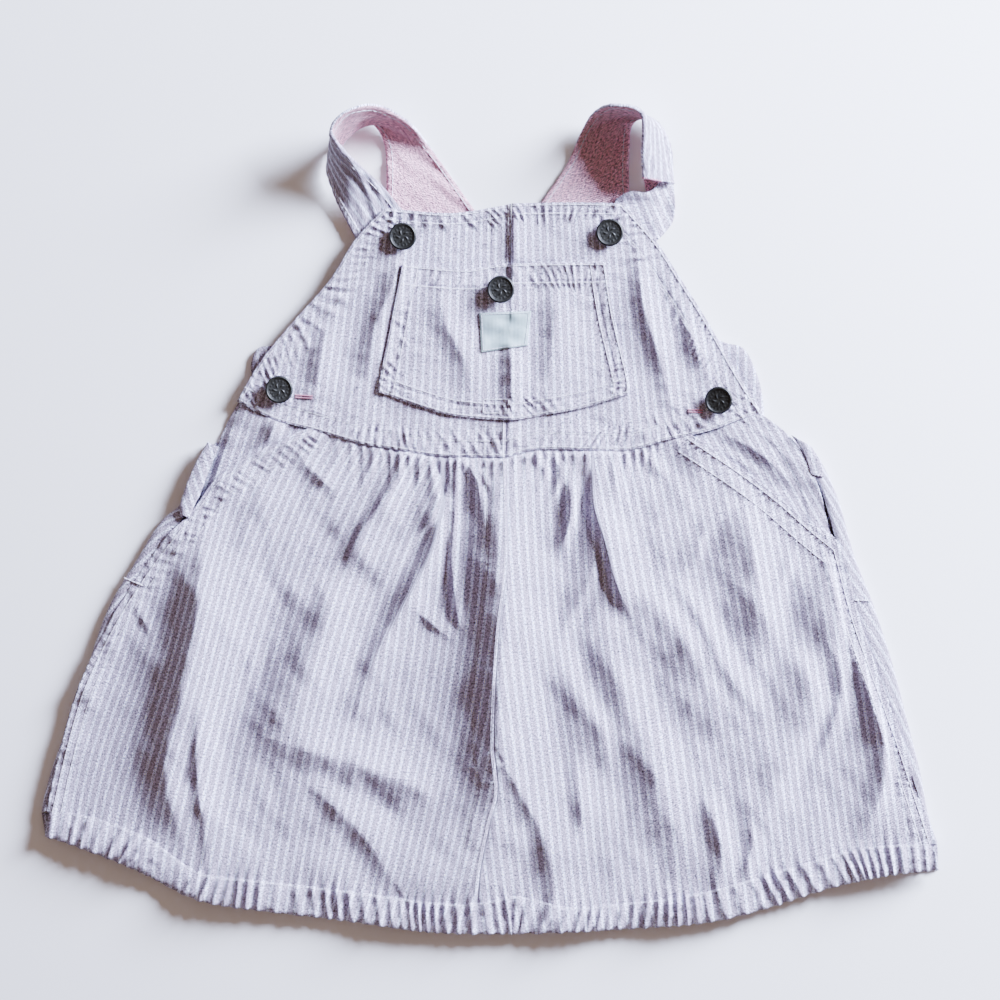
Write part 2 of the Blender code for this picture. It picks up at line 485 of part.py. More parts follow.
def bib(rows=18, cols=12):
    """Two halves joined by a felled seam, hemmed all round."""
    halves = [
        ("bib_left", BIB_TOP_EDGE[:3] + BIB_SEAM[:1], WAIST[:WAIST_CENTRE + 1], BIB_LEFT_EDGE, BIB_SEAM),
        ("bib_right", BIB_SEAM[:1] + BIB_TOP_EDGE[4:], WAIST[WAIST_CENTRE:], BIB_SEAM, BIB_RIGHT_EDGE),
    ]
    for name, top, waist, left, right in halves:
        grid = patch(top, waist, left, right, rows, cols)
        carries_seam = right is BIB_SEAM
        grid[..., 0] += -GAP / 2 if carries_seam else GAP / 2
        x, y = grid[..., 0], grid[..., 1]
        sides = np.minimum(nearest(x, y, BIB_LEFT_EDGE)[0], nearest(x, y, BIB_RIGHT_EDGE)[0])
        hems = [hem_at(sides, HEM_WIDTH), hem_at(nearest(x, y, BIB_TOP_EDGE)[0], TOP_HEM_WIDTH),
                hem_at(nearest(x, y, WAIST)[0], WAIST_BAND)]
        if carries_seam:
            hems.append(hem_at(nearest(x, y, BIB_SEAM)[0], SEAM_WIDTH))
        covered = under_pocket(x, y)
        z = bib_flat(x, y) + (1 - covered) * bib_folds(x, y)
        extra = np.max(hems, axis=0) * (1 - 0.7 * covered)
        wall(name, np.dstack([grid, z + extra]), np.dstack([grid, z - CLOTH]))


def under_pocket(x, y):
    """1 well inside the bib pocket's outline, 0 outside it."""
    half = np.interp(y, [51, 64, 131], [64, 62, 50])
    across = half - np.abs(x - np.interp(y, [64, 131], [7, 7]))
    along = np.minimum(131 - y, y - (50 + 0.003 * (x - 6) ** 2))
    return ramp(np.minimum(across, along), -4, 3)


def pocket_top(x, y):
    """Outer side of the pocket, which takes up the bib's folds where it covers the bib."""
    return bib_flat(x, y) + POCKET_LIFT + CLOTH + bib_folds(x, y)


def bib_pocket(rows=12, cols=17):
    """Patch pocket with a turned top edge, on the bib's own surface."""
    grid = patch(POCKET_TOP, POCKET_BOTTOM, POCKET_LEFT, POCKET_RIGHT, rows, cols)
    x, y = grid[..., 0], grid[..., 1]
    z = pocket_top(x, y)
    extra = hem_at(nearest(x, y, POCKET_TOP)[0], HEM_WIDTH)
    wall("bib_pocket", np.dstack([grid, z + extra]), np.dstack([grid, z - CLOTH]))


def label():
    corners = LABEL_CORNERS
    grid = patch(corners[:2], [corners[3], corners[2]], [corners[0], corners[3]],
                 [corners[1], corners[2]], 5, 6)
    x, y = grid[..., 0], grid[..., 1]
    z = pocket_top(x, y) + 0.5
    wall("label", np.dstack([grid, z + 1.0]), np.dstack([grid, z]), colour=(0.63, 0.80, 0.84), roughness=0.5)


def straps():
    ribbon("strap_left", STRAP_LEFT, 34, 5, STRAP)
    ribbon("strap_right", STRAP_RIGHT, 30, 5, STRAP)
    grid = patch(FOLD_RIGHT_TOP, FOLD_RIGHT_BOTTOM, FOLD_RIGHT_INNER, FOLD_RIGHT_OUTER, 8, 6)
    x, y = grid[..., 0], grid[..., 1]
    arch = ramp(y, 162, 167) * ramp(x, 88, 78)
    z = 4.2 + 2.4 * arch - 2.2 * ramp(x, 84, 93)
    wall("strap_right_fold", np.dstack([grid, z]), np.dstack([grid, z - STRAP]))


def buttons(sides=20):
    for name, centre, lean in BUTTONS:
        angles = np.linspace(0, 2 * np.pi, 24)
        x = centre[0] + np.outer([0.3, 0.7, 1.0], np.cos(angles)) * BUTTON_R
        y = centre[1] + np.outer([0.3, 0.7, 1.0], np.sin(angles)) * BUTTON_R
        top = pocket_top(x, y) if name == "button_pocket" else bib_flat(x, y) + bib_folds(x, y)
        height = top.max() + HEM + GAP + BUTTON_R * max(abs(lean[0]), abs(lean[1])) * 0.5
        turned(name, BUTTON_PROFILE, centre, height, lean, sides, (0.03, 0.03, 0.035), 0.4, 0.9)


for old in list(bpy.data.objects):
    bpy.data.objects.remove(old, do_unlink=True)
back_skirt()
back_hem()
back_bib()
straps()
hip_facings()
skirt_front()
front_hem()
plackets()
bib()
bib_pocket()
label()
buttons()
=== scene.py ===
import bpy
import numpy as np
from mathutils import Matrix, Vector


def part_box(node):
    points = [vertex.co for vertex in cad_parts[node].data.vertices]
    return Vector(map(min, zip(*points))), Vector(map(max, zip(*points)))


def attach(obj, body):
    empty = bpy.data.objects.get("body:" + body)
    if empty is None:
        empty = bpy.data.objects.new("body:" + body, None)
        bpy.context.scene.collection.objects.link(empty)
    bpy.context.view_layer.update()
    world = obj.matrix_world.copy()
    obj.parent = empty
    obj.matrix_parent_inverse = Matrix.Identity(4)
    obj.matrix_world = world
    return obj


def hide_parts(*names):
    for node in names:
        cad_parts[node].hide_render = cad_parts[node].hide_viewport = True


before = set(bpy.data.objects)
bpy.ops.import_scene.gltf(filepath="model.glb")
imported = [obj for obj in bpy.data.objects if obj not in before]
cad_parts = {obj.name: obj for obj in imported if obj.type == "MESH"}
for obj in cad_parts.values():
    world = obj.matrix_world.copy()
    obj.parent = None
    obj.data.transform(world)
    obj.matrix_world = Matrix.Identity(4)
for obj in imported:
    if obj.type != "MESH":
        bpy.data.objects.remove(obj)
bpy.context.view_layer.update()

MM = 0.001


# ---- Back of the skirt ----
# One flared panel of striped twill that lies flat on the surface and turns up round both
# sides to the side seams, where it is felled to the front panels. Sizes are millimetres, x
# runs to the right and y up the page, and paths are (x, y) points.

# Thickness of the cloth, and the gap that the pieces keep at their seams
CLOTH, GAP = 1.2, 0.3
# Height of the front's outer side at the waist and at the hem
FRONT_TOP, HEM_TOP = 4.6, 5.2
# The turn at each side is this deep, or this share of the width that lies on top
TURN, TURN_SHARE = 4.0, 0.72
# From one pale line of the stripes to the next
STRIPE = 4.3
# Outline of the panel as it lies: its left and right sides and its waist. Its hem is HEM_LINE.
BACK_LEFT = [(-143.5, 39.5), (-150, 26.5), (-156.5, 10), (-168.5, -1.5), (-179.5, -19), (-195.5, -46.5),
             (-208.5, -84.5), (-219.5, -115), (-226, -135), (-229, -149.5 + 2 * GAP)]
BACK_RIGHT = [(153, 42.5), (165, 36), (177, 13), (186, -18), (195, -41), (205, -71.5), (213, -102),
              (220, -130), (223.5, -149.5), (228.5, -165.5 + 2 * GAP)]
BACK_WAIST = [(-143.5, 39.5), (-127, 39), (-90, 33), (-45, 28), (8, 26), (60, 28), (105, 33), (141, 41),
              (153, 42.5)]
# The side seams, and the lips: the edges of the cloth that is turned up over both sides
SIDE_LEFT = [(-160.5, -6.5), (-175.5, -26.5), (-192.5, -53.5), (-208.5, -87.5), (-218.5, -122.5),
             (-224.5, -149)]
SIDE_RIGHT = [(176.5, -14.5), (187, -53.5), (202, -95), (210, -117.5), (217, -139), (225.5, -165.5)]
LIP_LEFT = [(-141.5, 37), (-147.5, 22.5), (-154, 6.5)] + [(x - 0.9, y + 1) for x, y in SIDE_LEFT]
LIP_RIGHT = [(157, 36), (167, 20), (172.5, 4)] + [(x + 0.9, y + 1) for x, y in SIDE_RIGHT]
HEM_LINE = [(-229, -149.5), (-202.5, -153), (-176, -162.5), (-149, -180.5), (-117.5, -185), (-79, -189.5),
            (-30.5, -196), (-6.5, -196.5), (14, -193), (39, -198.5), (64.5, -197), (108.5, -191),
            (151.5, -179), (185, -169.5), (198.5, -167.5), (228.5, -165.5)]


def curve(points, count):
    """Samples a smooth curve through the points, evenly along its length."""
    points = np.asarray(points, float)
    if len(points) > 2:
        ends = np.vstack([2 * points[0] - points[1], points, 2 * points[-1] - points[-2]])
        t = np.linspace(0, 1, 12, endpoint=False)[:, None]
        spans = []
        for a, b, c, d in zip(ends, ends[1:], ends[2:], ends[3:]):
            spans.append(0.5 * (2 * b + (c - a) * t + (2 * a - 5 * b + 4 * c - d) * t**2
                                + (3 * b - a - 3 * c + d) * t**3))
        points = np.vstack(spans + [points[-1:]])
    length = np.concatenate([[0], np.cumsum(np.linalg.norm(np.diff(points, axis=0), axis=1))])
    at = np.linspace(0, length[-1], count)
    return np.stack([np.interp(at, length, column) for column in points.T], axis=1)


def patch(top, bottom, left, right, rows, cols):
    """A grid of points between four edges, rows from top to bottom and columns left to right."""
    top, bottom = curve(top, cols), curve(bottom, cols)
    left, right = curve(left, rows), curve(right, rows)
    v = np.linspace(0, 1, rows)[:, None, None]
    u = np.linspace(0, 1, cols)[None, :, None]
    corners = (1 - v) * ((1 - u) * left[0] + u * right[0]) + v * ((1 - u) * left[-1] + u * right[-1])
    return (1 - v) * top[None] + v * bottom[None] + (1 - u) * left[:, None] + u * right[:, None] - corners


def ramp(value, start, end):
    """Runs smoothly from 0 at start to 1 at end."""
    t = np.clip((value - start) / (end - start), 0, 1)
    return t * t * (3 - 2 * t)


def ripple(along, pitch, seed):
    """Uneven waves along a seam, from -1 to 1, sharper on their crests."""
    phase = along / pitch + 0.7 * np.sin(along / 19 + seed) + 0.3 * np.sin(along / 7.3 + 2.1 * seed)
    size = 0.66 + 0.34 * np.sin(along / 11.7 + 3.7 * seed) * np.sin(along / 5.1 + seed)
    wave = np.sin(2 * np.pi * phase)
    return size * (wave + 0.25 * (wave * wave - 0.5))


class Signal:
    """An output of a material's nodes that takes part in sums."""

    def __init__(self, look, socket):
        self.look, self.socket = look, socket

    def math(self, operation, a, b=0.0):
        return self.look.node("Math", {"operation": operation}, {0: a, 1: b})

    def __add__(self, other):
        return self.math("ADD", self, other)

    def __sub__(self, other):
        return self.math("SUBTRACT", self, other)

    def __rsub__(self, other):
        return self.math("SUBTRACT", other, self)

    def __mul__(self, other):
        return self.math("MULTIPLY", self, other)

    def __truediv__(self, other):
        return self.math("DIVIDE", self, other)

    def __rtruediv__(self, other):
        return self.math("DIVIDE", other, self)

    __radd__, __rmul__ = __add__, __mul__

    def sin(self):
        return self.math("SINE", self)

    def fract(self):
        return self.math("FRACT", self)

    def abs(self):
        return self.math("ABSOLUTE", self)

    def between(self, start, end):
        """Runs smoothly from 0 at start to 1 at end."""
        return self.look.node("MapRange", {"interpolation_type": "SMOOTHSTEP"},
                              {"Value": self, "From Min": start, "From Max": end})


class Look:
    """A node material of its own."""

    def __init__(self, name):
        self.material = bpy.data.materials.new(name)
        self.material.use_nodes = True
        self.tree = self.material.node_tree
        self.tree.nodes.clear()

    def node(self, kind, settings, inputs, out=0):
        """Adds a node, its settings first, then its values and links, and gives one output, if any."""
        made = self.tree.nodes.new("ShaderNode" + kind)
        for name, value in settings.items():
            setattr(made, name, value)
        for name, value in inputs.items():
            if isinstance(value, Signal):
                self.tree.links.new(value.socket, made.inputs[name])
            else:
                made.inputs[name].default_value = value
        return Signal(self, made.outputs[out]) if made.outputs else None

    def mix(self, share, a, b, blend="MIX"):
        return self.node("Mix", {"data_type": "RGBA", "blend_type": blend}, {0: share, 6: a, 7: b}, 2)

    def noise(self, vector, scale, detail=2.0):
        return self.node("TexNoise", {}, {"Vector": vector, "Scale": scale, "Detail": detail})

    def surface(self, **inputs):
        """Ends the material with a Principled shader; underscores stand for spaces."""
        named = {name.replace("_", " "): value for name, value in inputs.items()}
        self.node("OutputMaterial", {}, {"Surface": self.node("BsdfPrincipled", {}, named)})
        return self.material


def twill(name, line, band, stripe=STRIPE, contrast=1.0):
    """Striped cotton twill: pale lines on a wider band, diagonal ribs, uneven yarns."""
    look = Look(name)
    threads = look.node("UVMap", {"uv_map": "Threads"}, {})
    across = look.node("SeparateXYZ", {}, {0: threads}, "X")
    along = look.node("SeparateXYZ", {}, {0: threads}, "Y")
    rib = (across * 5.0 + along * 6.6).sin()
    speckle = look.noise(threads, 1.0)
    grain = look.noise(threads, 2.1)
    yarn = look.noise(look.node("CombineXYZ", {}, {0: across * 2.6, 1: along * 0.16}), 1.0)
    cloud = look.noise(threads, 0.05)
    place = (across / stripe + speckle * 0.16 + rib * 0.02).fract()
    white = 1.0 - ((place - 0.5).abs() * 2.0).between(0.22, 0.46)
    base = look.mix(white * contrast, (*band, 1), (*line, 1))
    shade = speckle * 3.5 + grain * 1.9 + yarn * 0.3 + rib * 0.04 + cloud * 0.1 - 1.92
    tone = look.node("CombineColor", {}, {0: shade, 1: shade, 2: shade})
    colour = look.mix(1.0, base, tone, "MULTIPLY")
    relief = rib * 0.4 + speckle * 4.4 + grain * 3.0 + yarn * 0.6
    bump = look.node("Bump", {}, {"Strength": 0.9, "Distance": 0.00045, "Height": relief})
    return look.surface(Base_Color=colour, Roughness=0.9, Normal=bump,
                        Sheen_Weight=0.15, Sheen_Roughness=0.5, Specular_IOR_Level=0.2)


LINE_COLOUR, BAND_COLOUR = (0.75, 0.745, 0.945), (0.405, 0.345, 0.455)
twill_out = twill("Striped twill", LINE_COLOUR, BAND_COLOUR)


def sheet_mesh(name, grid, threads, drop=CLOTH, inset=4, looks=(twill_out,), loop=False):
    """Cloth over a grid of points, its edges turned down and a little way back underneath.

    A loop's last row joins its first.
    """
    rows, cols = grid.shape[:2]
    if drop:
        r = np.array([inset, 0] + list(range(rows)) + [rows - 1, rows - 1 - inset])
        c = np.array([inset, 0] + list(range(cols)) + [cols - 1, cols - 1 - inset])
        grid, threads = grid[r][:, c].copy(), threads[r][:, c]
        out_r = (np.arange(len(r)) < 2) | (np.arange(len(r)) > rows + 1)
        out_c = (np.arange(len(c)) < 2) | (np.arange(len(c)) > cols + 1)
        outside = out_r[:, None] | out_c[None, :]
        grid[..., 2] -= drop * outside
        grid[..., 2] = np.maximum(grid[..., 2], 0)
        keep = ~(out_r[:-1, None] & out_c[None, :-1] | out_r[1:, None] & out_c[None, 1:]
                 | out_r[:-1, None] & out_c[None, 1:] | out_r[1:, None] & out_c[None, :-1])
    else:
        keep = np.ones((rows - 1, cols - 1), bool)
    rows, cols = grid.shape[:2]
    index = np.arange(rows * cols).reshape(rows, cols)
    quads = np.stack([index[:-1, :-1], index[1:, :-1], index[1:, 1:], index[:-1, 1:]], axis=-1)[keep]
    if loop:
        close = np.stack([index[-1, :-1], index[0, :-1], index[0, 1:], index[-1, 1:]], axis=-1)
        quads = np.concatenate([quads, close])
    return mesh_object(name, grid.reshape(-1, 3), quads, threads.reshape(-1, 2), looks)


def mesh_object(name, points, faces, threads=None, looks=(), slots=None):
    """A smooth mesh of points in mm that rides the dress; slots give each face its look."""
    mesh = bpy.data.meshes.new(name)
    mesh.from_pydata((points * MM).tolist(), [], faces.tolist())
    if threads is not None:
        layer = mesh.uv_layers.new(name="Threads")
        corners = np.empty(len(mesh.loops), np.int32)
        mesh.loops.foreach_get("vertex_index", corners)
        layer.data.foreach_set("uv", threads[corners].astype(np.float32).ravel())
    for look in looks:
        mesh.materials.append(look)
    if slots is not None:
        mesh.polygons.foreach_set("material_index", slots.astype(np.int32))
    mesh.shade_smooth()
    made = bpy.data.objects.new(name, mesh)
    bpy.context.collection.objects.link(made)
    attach(made, "root")
    return made


def run_lengths(grid, axis):
    """Distance walked along a grid's rows or columns, in mm."""
    steps = np.linalg.norm(np.diff(grid, axis=axis), axis=-1)
    start = np.zeros_like(np.take(steps, [0], axis=axis))
    return np.concatenate([start, np.cumsum(steps, axis=axis)], axis=axis)


def back_skirt(rows=220, cols=90, turn_steps=14):
    flat = patch(BACK_WAIST, [(x, y + 2 * GAP) for x, y in HEM_LINE], BACK_LEFT, BACK_RIGHT, rows, cols)
    angles = np.radians(np.linspace(90, -90, turn_steps))
    sides = []
    for edge, lip, seed in ((flat[:, 0], curve(LIP_LEFT, rows), 1.0),
                            (flat[:, -1], curve(LIP_RIGHT, rows), 2.3)):
        inwards = lip - edge
        reach = np.linalg.norm(inwards, axis=1)
        inwards /= reach[:, None]
        top = FRONT_TOP + (HEM_TOP - FRONT_TOP) * ramp(-lip[:, 1], 100, 180)
        turn = np.minimum(TURN, TURN_SHARE * reach)
        walked = np.arange(rows)
        points = []
        for share in (1.0, 0.75, 0.5, 0.25):
            at = edge + inwards * (turn + share * (reach - turn))[:, None]
            swell = 0.7 * np.sin(np.pi * share) * (1 + 0.4 * ripple(walked, 17, seed))
            points.append(np.column_stack([at, top + swell * (reach > 8)]))
        for angle in angles:
            in_by = turn * (1 - np.cos(angle))
            points.append(np.column_stack([edge + inwards * in_by[:, None],
                                           top / 2 + top / 2 * np.sin(angle)]))
        sides.append(np.stack(points, axis=1))
    bottom = np.dstack([flat[:, 1:-1], np.zeros((rows, cols - 2, 1))])
    skin = np.concatenate([sides[0], bottom, sides[1][:, ::-1]], axis=1)
    across, along = run_lengths(skin, 1), run_lengths(skin, 0)
    across = across - across[:, [across.shape[1] // 2]]
    width = across[:, -1:] - across[:, :1]
    across = across * (0.75 + 0.25 * width[-1] / width)
    made = sheet_mesh("back_skirt_cloth", skin, np.dstack([across, along]), drop=0)
    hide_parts("back_skirt")


back_skirt()


# ---- Back hem ----
# A casing turned up at the lower edge of the back panel, with elastic drawn through it, so
# that it puckers into short uneven ribs.

HEM_EDGE = [(-227, -161.5), (-211.5, -166.5), (-181, -178.5), (-150.5, -193.5), (-120, -199), (-74, -204.5),
            (-28, -210.5), (18, -211), (64, -209), (109.5, -205.5), (140, -198.5), (171, -188.5),
            (201.5, -181.5), (229, -178.5)]


def back_hem(rows=10, cols=520):
    grid = patch(HEM_LINE, HEM_EDGE, [HEM_LINE[0], HEM_EDGE[0]], [HEM_LINE[-1], HEM_EDGE[-1]], rows, cols)
    v = np.linspace(0, 1, rows)[:, None]
    along = run_lengths(np.dstack([grid, np.zeros(grid.shape[:2])]), 1)
    height = 2.1 * np.sin(np.pi * (0.12 + 0.76 * v)) ** 0.4 + 0.35 * ripple(along + 3 * v, 6.3, 0.4)
    height = np.clip(height, 0.4, 3.0) * np.ones(cols)
    top = np.dstack([grid, height])
    under = np.dstack([grid[::-1], np.zeros(grid.shape[:2])])
    tube = np.concatenate([top, under])
    threads = np.dstack([np.concatenate([along, along[::-1]]) * 1.2, run_lengths(tube, 0)])
    made = sheet_mesh("hem_back_cloth", tube, threads, drop=0, loop=True)
    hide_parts("hem_back")


back_hem()


# ---- Back bib ----
# The yoke behind the bib, one layer with a faced edge: its armhole curves show beside the
# lower corners of the bib, and its V-shaped top edge lies between the straps.

BACK_YOKE_TOP = [(-52, 150.3), (-21.5, 143.8), (9, 137.3), (38.5, 143.8), (68, 150.3)]
ARMHOLE_LEFT = [(-52, 150.3), (-64, 126), (-88, 103), (-108, 90), (-118, 88), (-122, 80), (-122, 68),
                (-127, 39.9)]
ARMHOLE_RIGHT = [(68, 150.3), (79, 126), (99, 106), (117, 92), (129, 88), (135, 78), (139, 64), (141, 41.9)]


def nearest(x, y, path):
    """Distance to a path, the side it is on, the path's third value there and the way along it."""
    best = np.full(np.shape(x), np.inf)
    side, value, along = np.zeros_like(best), np.zeros_like(best), np.zeros_like(best)
    path = np.asarray(path, float)
    walked = 0.0
    for a, b in zip(path, path[1:]):
        dx, dy = b[0] - a[0], b[1] - a[1]
        t = np.clip(((x - a[0]) * dx + (y - a[1]) * dy) / (dx * dx + dy * dy), 0, 1)
        away = np.hypot(x - a[0] - t * dx, y - a[1] - t * dy)
        closer = away < best
        best = np.where(closer, away, best)
        side = np.where(closer, dx * (y - a[1]) - dy * (x - a[0]), side)
        along = np.where(closer, walked + t * np.hypot(dx, dy), along)
        if path.shape[1] > 2:
            value = np.where(closer, a[2] + t * (b[2] - a[2]), value)
        walked += np.hypot(dx, dy)
    return best, side, value, along


def back_bib(rows=130, cols=150):
    bottom = [(x, y + 3 * GAP) for x, y in BACK_WAIST[1:-1]]
    grid = patch(BACK_YOKE_TOP, bottom, ARMHOLE_LEFT, ARMHOLE_RIGHT, rows, cols)
    x, y = grid[..., 0], grid[..., 1]
    left, _, _, run_left = nearest(x, y, curve(ARMHOLE_LEFT, 60))
    right, _, _, run_right = nearest(x, y, curve(ARMHOLE_RIGHT, 60))
    edge, run = np.minimum(left, right), np.where(left < right, run_left, run_right)
    z = CLOTH + 0.7 * (1 - ramp(edge, 5, 8)) + 0.3 * ripple(run, 5.5, 0.8) * (1 - ramp(edge, 6, 12))
    top = np.dstack([grid, np.maximum(z, 0.8)])
    made = sheet_mesh("bib_back_cloth", top, np.dstack([x, y]), drop=1.0)
    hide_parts("bib_back")


back_bib()


# ---- Shoulder straps ----
# Bands of the same twill, striped outside and pink inside, that run up from the back yoke,
# turn over at the top in a loose twist and come down to the bib's upper corners.

# Thickness and width
STRAP, STRAP_WIDTH = 1.8, 28.0
# How far the stitches are from the strap's edges and from the middle of its cloth
STRAP_STITCH_IN, STRAP_STITCH_UP = 3.2, 1.15
# A row for each section, from the back yoke over the top to the front, with the two edges
# as (x, y, z) at the middle of the cloth
STRAP_LEFT = [
    ((8.3, 138, 0.9), (-52, 150.8, 0.9)),
    ((-8, 158.5, 0.9), (-53, 164, 0.9)),
    ((-28.5, 187.5, 1.2), (-53, 184, 0.9)),
    ((-42.5, 203.5, 14), (-55, 195, 1.2)),
    ((-57, 210, 23), (-60, 202.5, 1.6)),
    ((-67, 209.3, 27), (-65.5, 201.5, 2)),
    ((-75.5, 205.5, 27), (-72.5, 197, 2)),
    ((-80, 197.5, 26), (-76, 191, 2)),
    ((-75, 189, 24), (-81, 187, 2.4)),
    ((-67, 181, 18), (-82.5, 179, 2.6)),
    ((-56, 171.5, 7), (-80.5, 169, 2.8)),
    ((-47, 161, 3.3), (-75, 156, 3)),
    ((-40, 151, 3.3), (-67.5, 142, 3.2)),
    ((-33, 141, 3.3), (-59, 131, 3.3)),
]
STRAP_RIGHT = [
    ((9.7, 138, 0.9), (68, 150.8, 0.9)),
    ((26, 162, 0.9), (71, 164, 0.9)),
    ((33, 172, 0.9), (71, 173, 0.9)),
    ((40, 183, 1.2), (71, 184, 0.9)),
    ((46, 197, 4), (71.4, 194, 1.0)),
    ((52, 206.5, 10), (72, 199.5, 1.5)),
    ((60, 210.3, 19), (73.5, 202.5, 2)),
    ((70, 210, 25), (76, 204.5, 2.2)),
    ((76.5, 206.5, 26), (82, 205, 2.2)),
    ((77.2, 197, 23), (89, 199, 2.4)),
    ((77.4, 185, 19), (92.5, 186, 3)),
    ((77.6, 174.5, 14), (94, 171.5, 4.2)),
]
# The turned-under end of the right strap
FOLD_RIGHT_TOP = [(64.5, 164), (71.5, 167.5), (79, 167), (83.5, 169), (87.5, 173.5), (93.5, 175)]
FOLD_RIGHT_BOTTOM = [(57, 140), (66, 134), (76, 134)]
FOLD_RIGHT_OUTER = [(93.5, 175), (94.5, 157.5), (90.5, 148), (76, 134)]
FOLD_RIGHT_INNER = [(64.5, 164), (60, 150), (57, 140)]
# Edges of the strap's pink inside where it shows below the fold: top, bottom, left and right
FOLD_INSIDE = ([(78.5, 174), (90, 175)], [(80, 165.5), (86, 167.5)],
               [(78.5, 174), (80, 165.5)], [(90, 175), (86, 167.5)])
# The overcast raw end of the right strap, from its inner to its outer corner
RAW_END = ((77.8, 174.2, 14.4), (87.5, 172.6, 9.0))
# Length, pitch and thickness of a stitch
STRAP_STITCH, OVERCAST_STITCH = (2.5, 3.0, 0.5), (0.9, 1.2, 1.5)
THREAD_COLOUR, BUTTONHOLE_COLOUR = (0.74, 0.72, 0.82), (0.60, 0.26, 0.36)
INSIDE_LINE, INSIDE_BAND = (0.86, 0.56, 0.64), (0.74, 0.39, 0.49)
twill_in = twill("Twill inside", INSIDE_LINE, INSIDE_BAND, contrast=0.25)


def wrinkles(x, y, size, seed, count=14):
    """Soft uneven relief from crossing waves, about -1 to 1, of a given size in mm."""
    rng = np.random.default_rng(seed)
    total = np.zeros(np.shape(x))
    for _ in range(count):
        angle, phase = rng.uniform(0, np.pi), rng.uniform(0, 2 * np.pi)
        pitch = size * rng.uniform(0.7, 1.7)
        run = x * np.cos(angle) + y * np.sin(angle)
        bend = 0.6 * np.sin((y * np.cos(angle) - x * np.sin(angle)) / (1.7 * pitch) + 2 * phase)
        total += np.sin(2 * np.pi * run / pitch + bend + phase)
    return total / np.sqrt(count)


def shell(name, outer, inner, threads, looks):
    """A closed band of cloth between two grids: the first look outside, the second inside."""
    rows, cols = outer.shape[:2]
    grid = np.concatenate([outer, inner[:, ::-1]], axis=1)
    both = np.concatenate([threads, threads[:, ::-1]], axis=1)
    index = np.arange(rows * 2 * cols).reshape(rows, 2 * cols)
    after = np.roll(index, -1, axis=1)
    quads = np.stack([index[:-1], index[1:], after[1:], after[:-1]], axis=-1)
    slots = np.zeros((rows - 1, 2 * cols), int)
    slots[:, cols:-1] = 1
    caps = []
    for row in (0, rows - 1):
        line = index[row]
        cap = np.stack([line[:cols - 1], line[1:cols], line[::-1][1:cols], line[::-1][:cols - 1]], axis=-1)
        caps.append(cap if row == 0 else cap[:, ::-1])
    faces = np.concatenate([quads.reshape(-1, 4)] + caps)
    slots = np.concatenate([slots.ravel(), np.zeros(2 * (cols - 1), int)])
    return mesh_object(name, grid.reshape(-1, 3), faces, both.reshape(-1, 2), looks, slots)


def stitch_rows(name, rows, colour="thread"):
    """Rows of short raised stitches as one piece.

    A row is a path of (x, y, z) points, then its stitches' length, pitch and thickness.
    """
    points, faces = [], []
    for path, length, pitch, thick in rows:
        total = np.linalg.norm(np.diff(path, axis=0), axis=1).sum()
        count = max(2, int(total / pitch))
        fine = curve(path, 4 * count + 1) if len(path) < 4 * count else path
        walked = np.concatenate([[0], np.cumsum(np.linalg.norm(np.diff(fine, axis=0), axis=1))])
        for k in range(count):
            at = (k + 0.5 + np.array([-0.5, 0.0, 0.5]) * length / pitch) * walked[-1] / count
            spine = np.stack([np.interp(at, walked, column) for column in fine.T], axis=1)
            way = spine[2] - spine[0]
            way /= max(np.linalg.norm(way), 1e-6)
            side = np.cross(way, (0, 0, 1))
            side /= max(np.linalg.norm(side), 1e-6)
            up = np.cross(side, way)
            spine += np.array([-0.3, 0.12, -0.3])[:, None] * thick * up
            base = len(points)
            for ring in spine:
                for angle in np.radians((45, 135, 225, 315)):
                    points.append(ring + thick / 2 * (side * np.cos(angle) + up * np.sin(angle)))
            for r in (0, 4):
                for i in range(4):
                    j = (i + 1) % 4
                    faces.append((base + r + i, base + r + j, base + r + 4 + j, base + r + 4 + i))
    return mesh_object(name, np.array(points), np.array(faces), None, (threads_look[colour],))


def thread_look(name, colour):
    look = Look(name)
    place = look.node("TexCoord", {}, {}, "Object")
    fuzz = look.noise(place, 2500.0)
    shade = 0.85 + fuzz * 0.25
    tone = look.node("CombineColor", {}, {i: shade * level for i, level in enumerate(colour)})
    bump = look.node("Bump", {}, {"Strength": 0.5, "Distance": 0.0001, "Height": fuzz})
    return look.surface(Base_Color=tone, Roughness=0.75, Normal=bump, Sheen_Weight=0.1)


threads_look = {"thread": thread_look("Sewing thread", THREAD_COLOUR),
                "pink": thread_look("Buttonhole thread", BUTTONHOLE_COLOUR)}


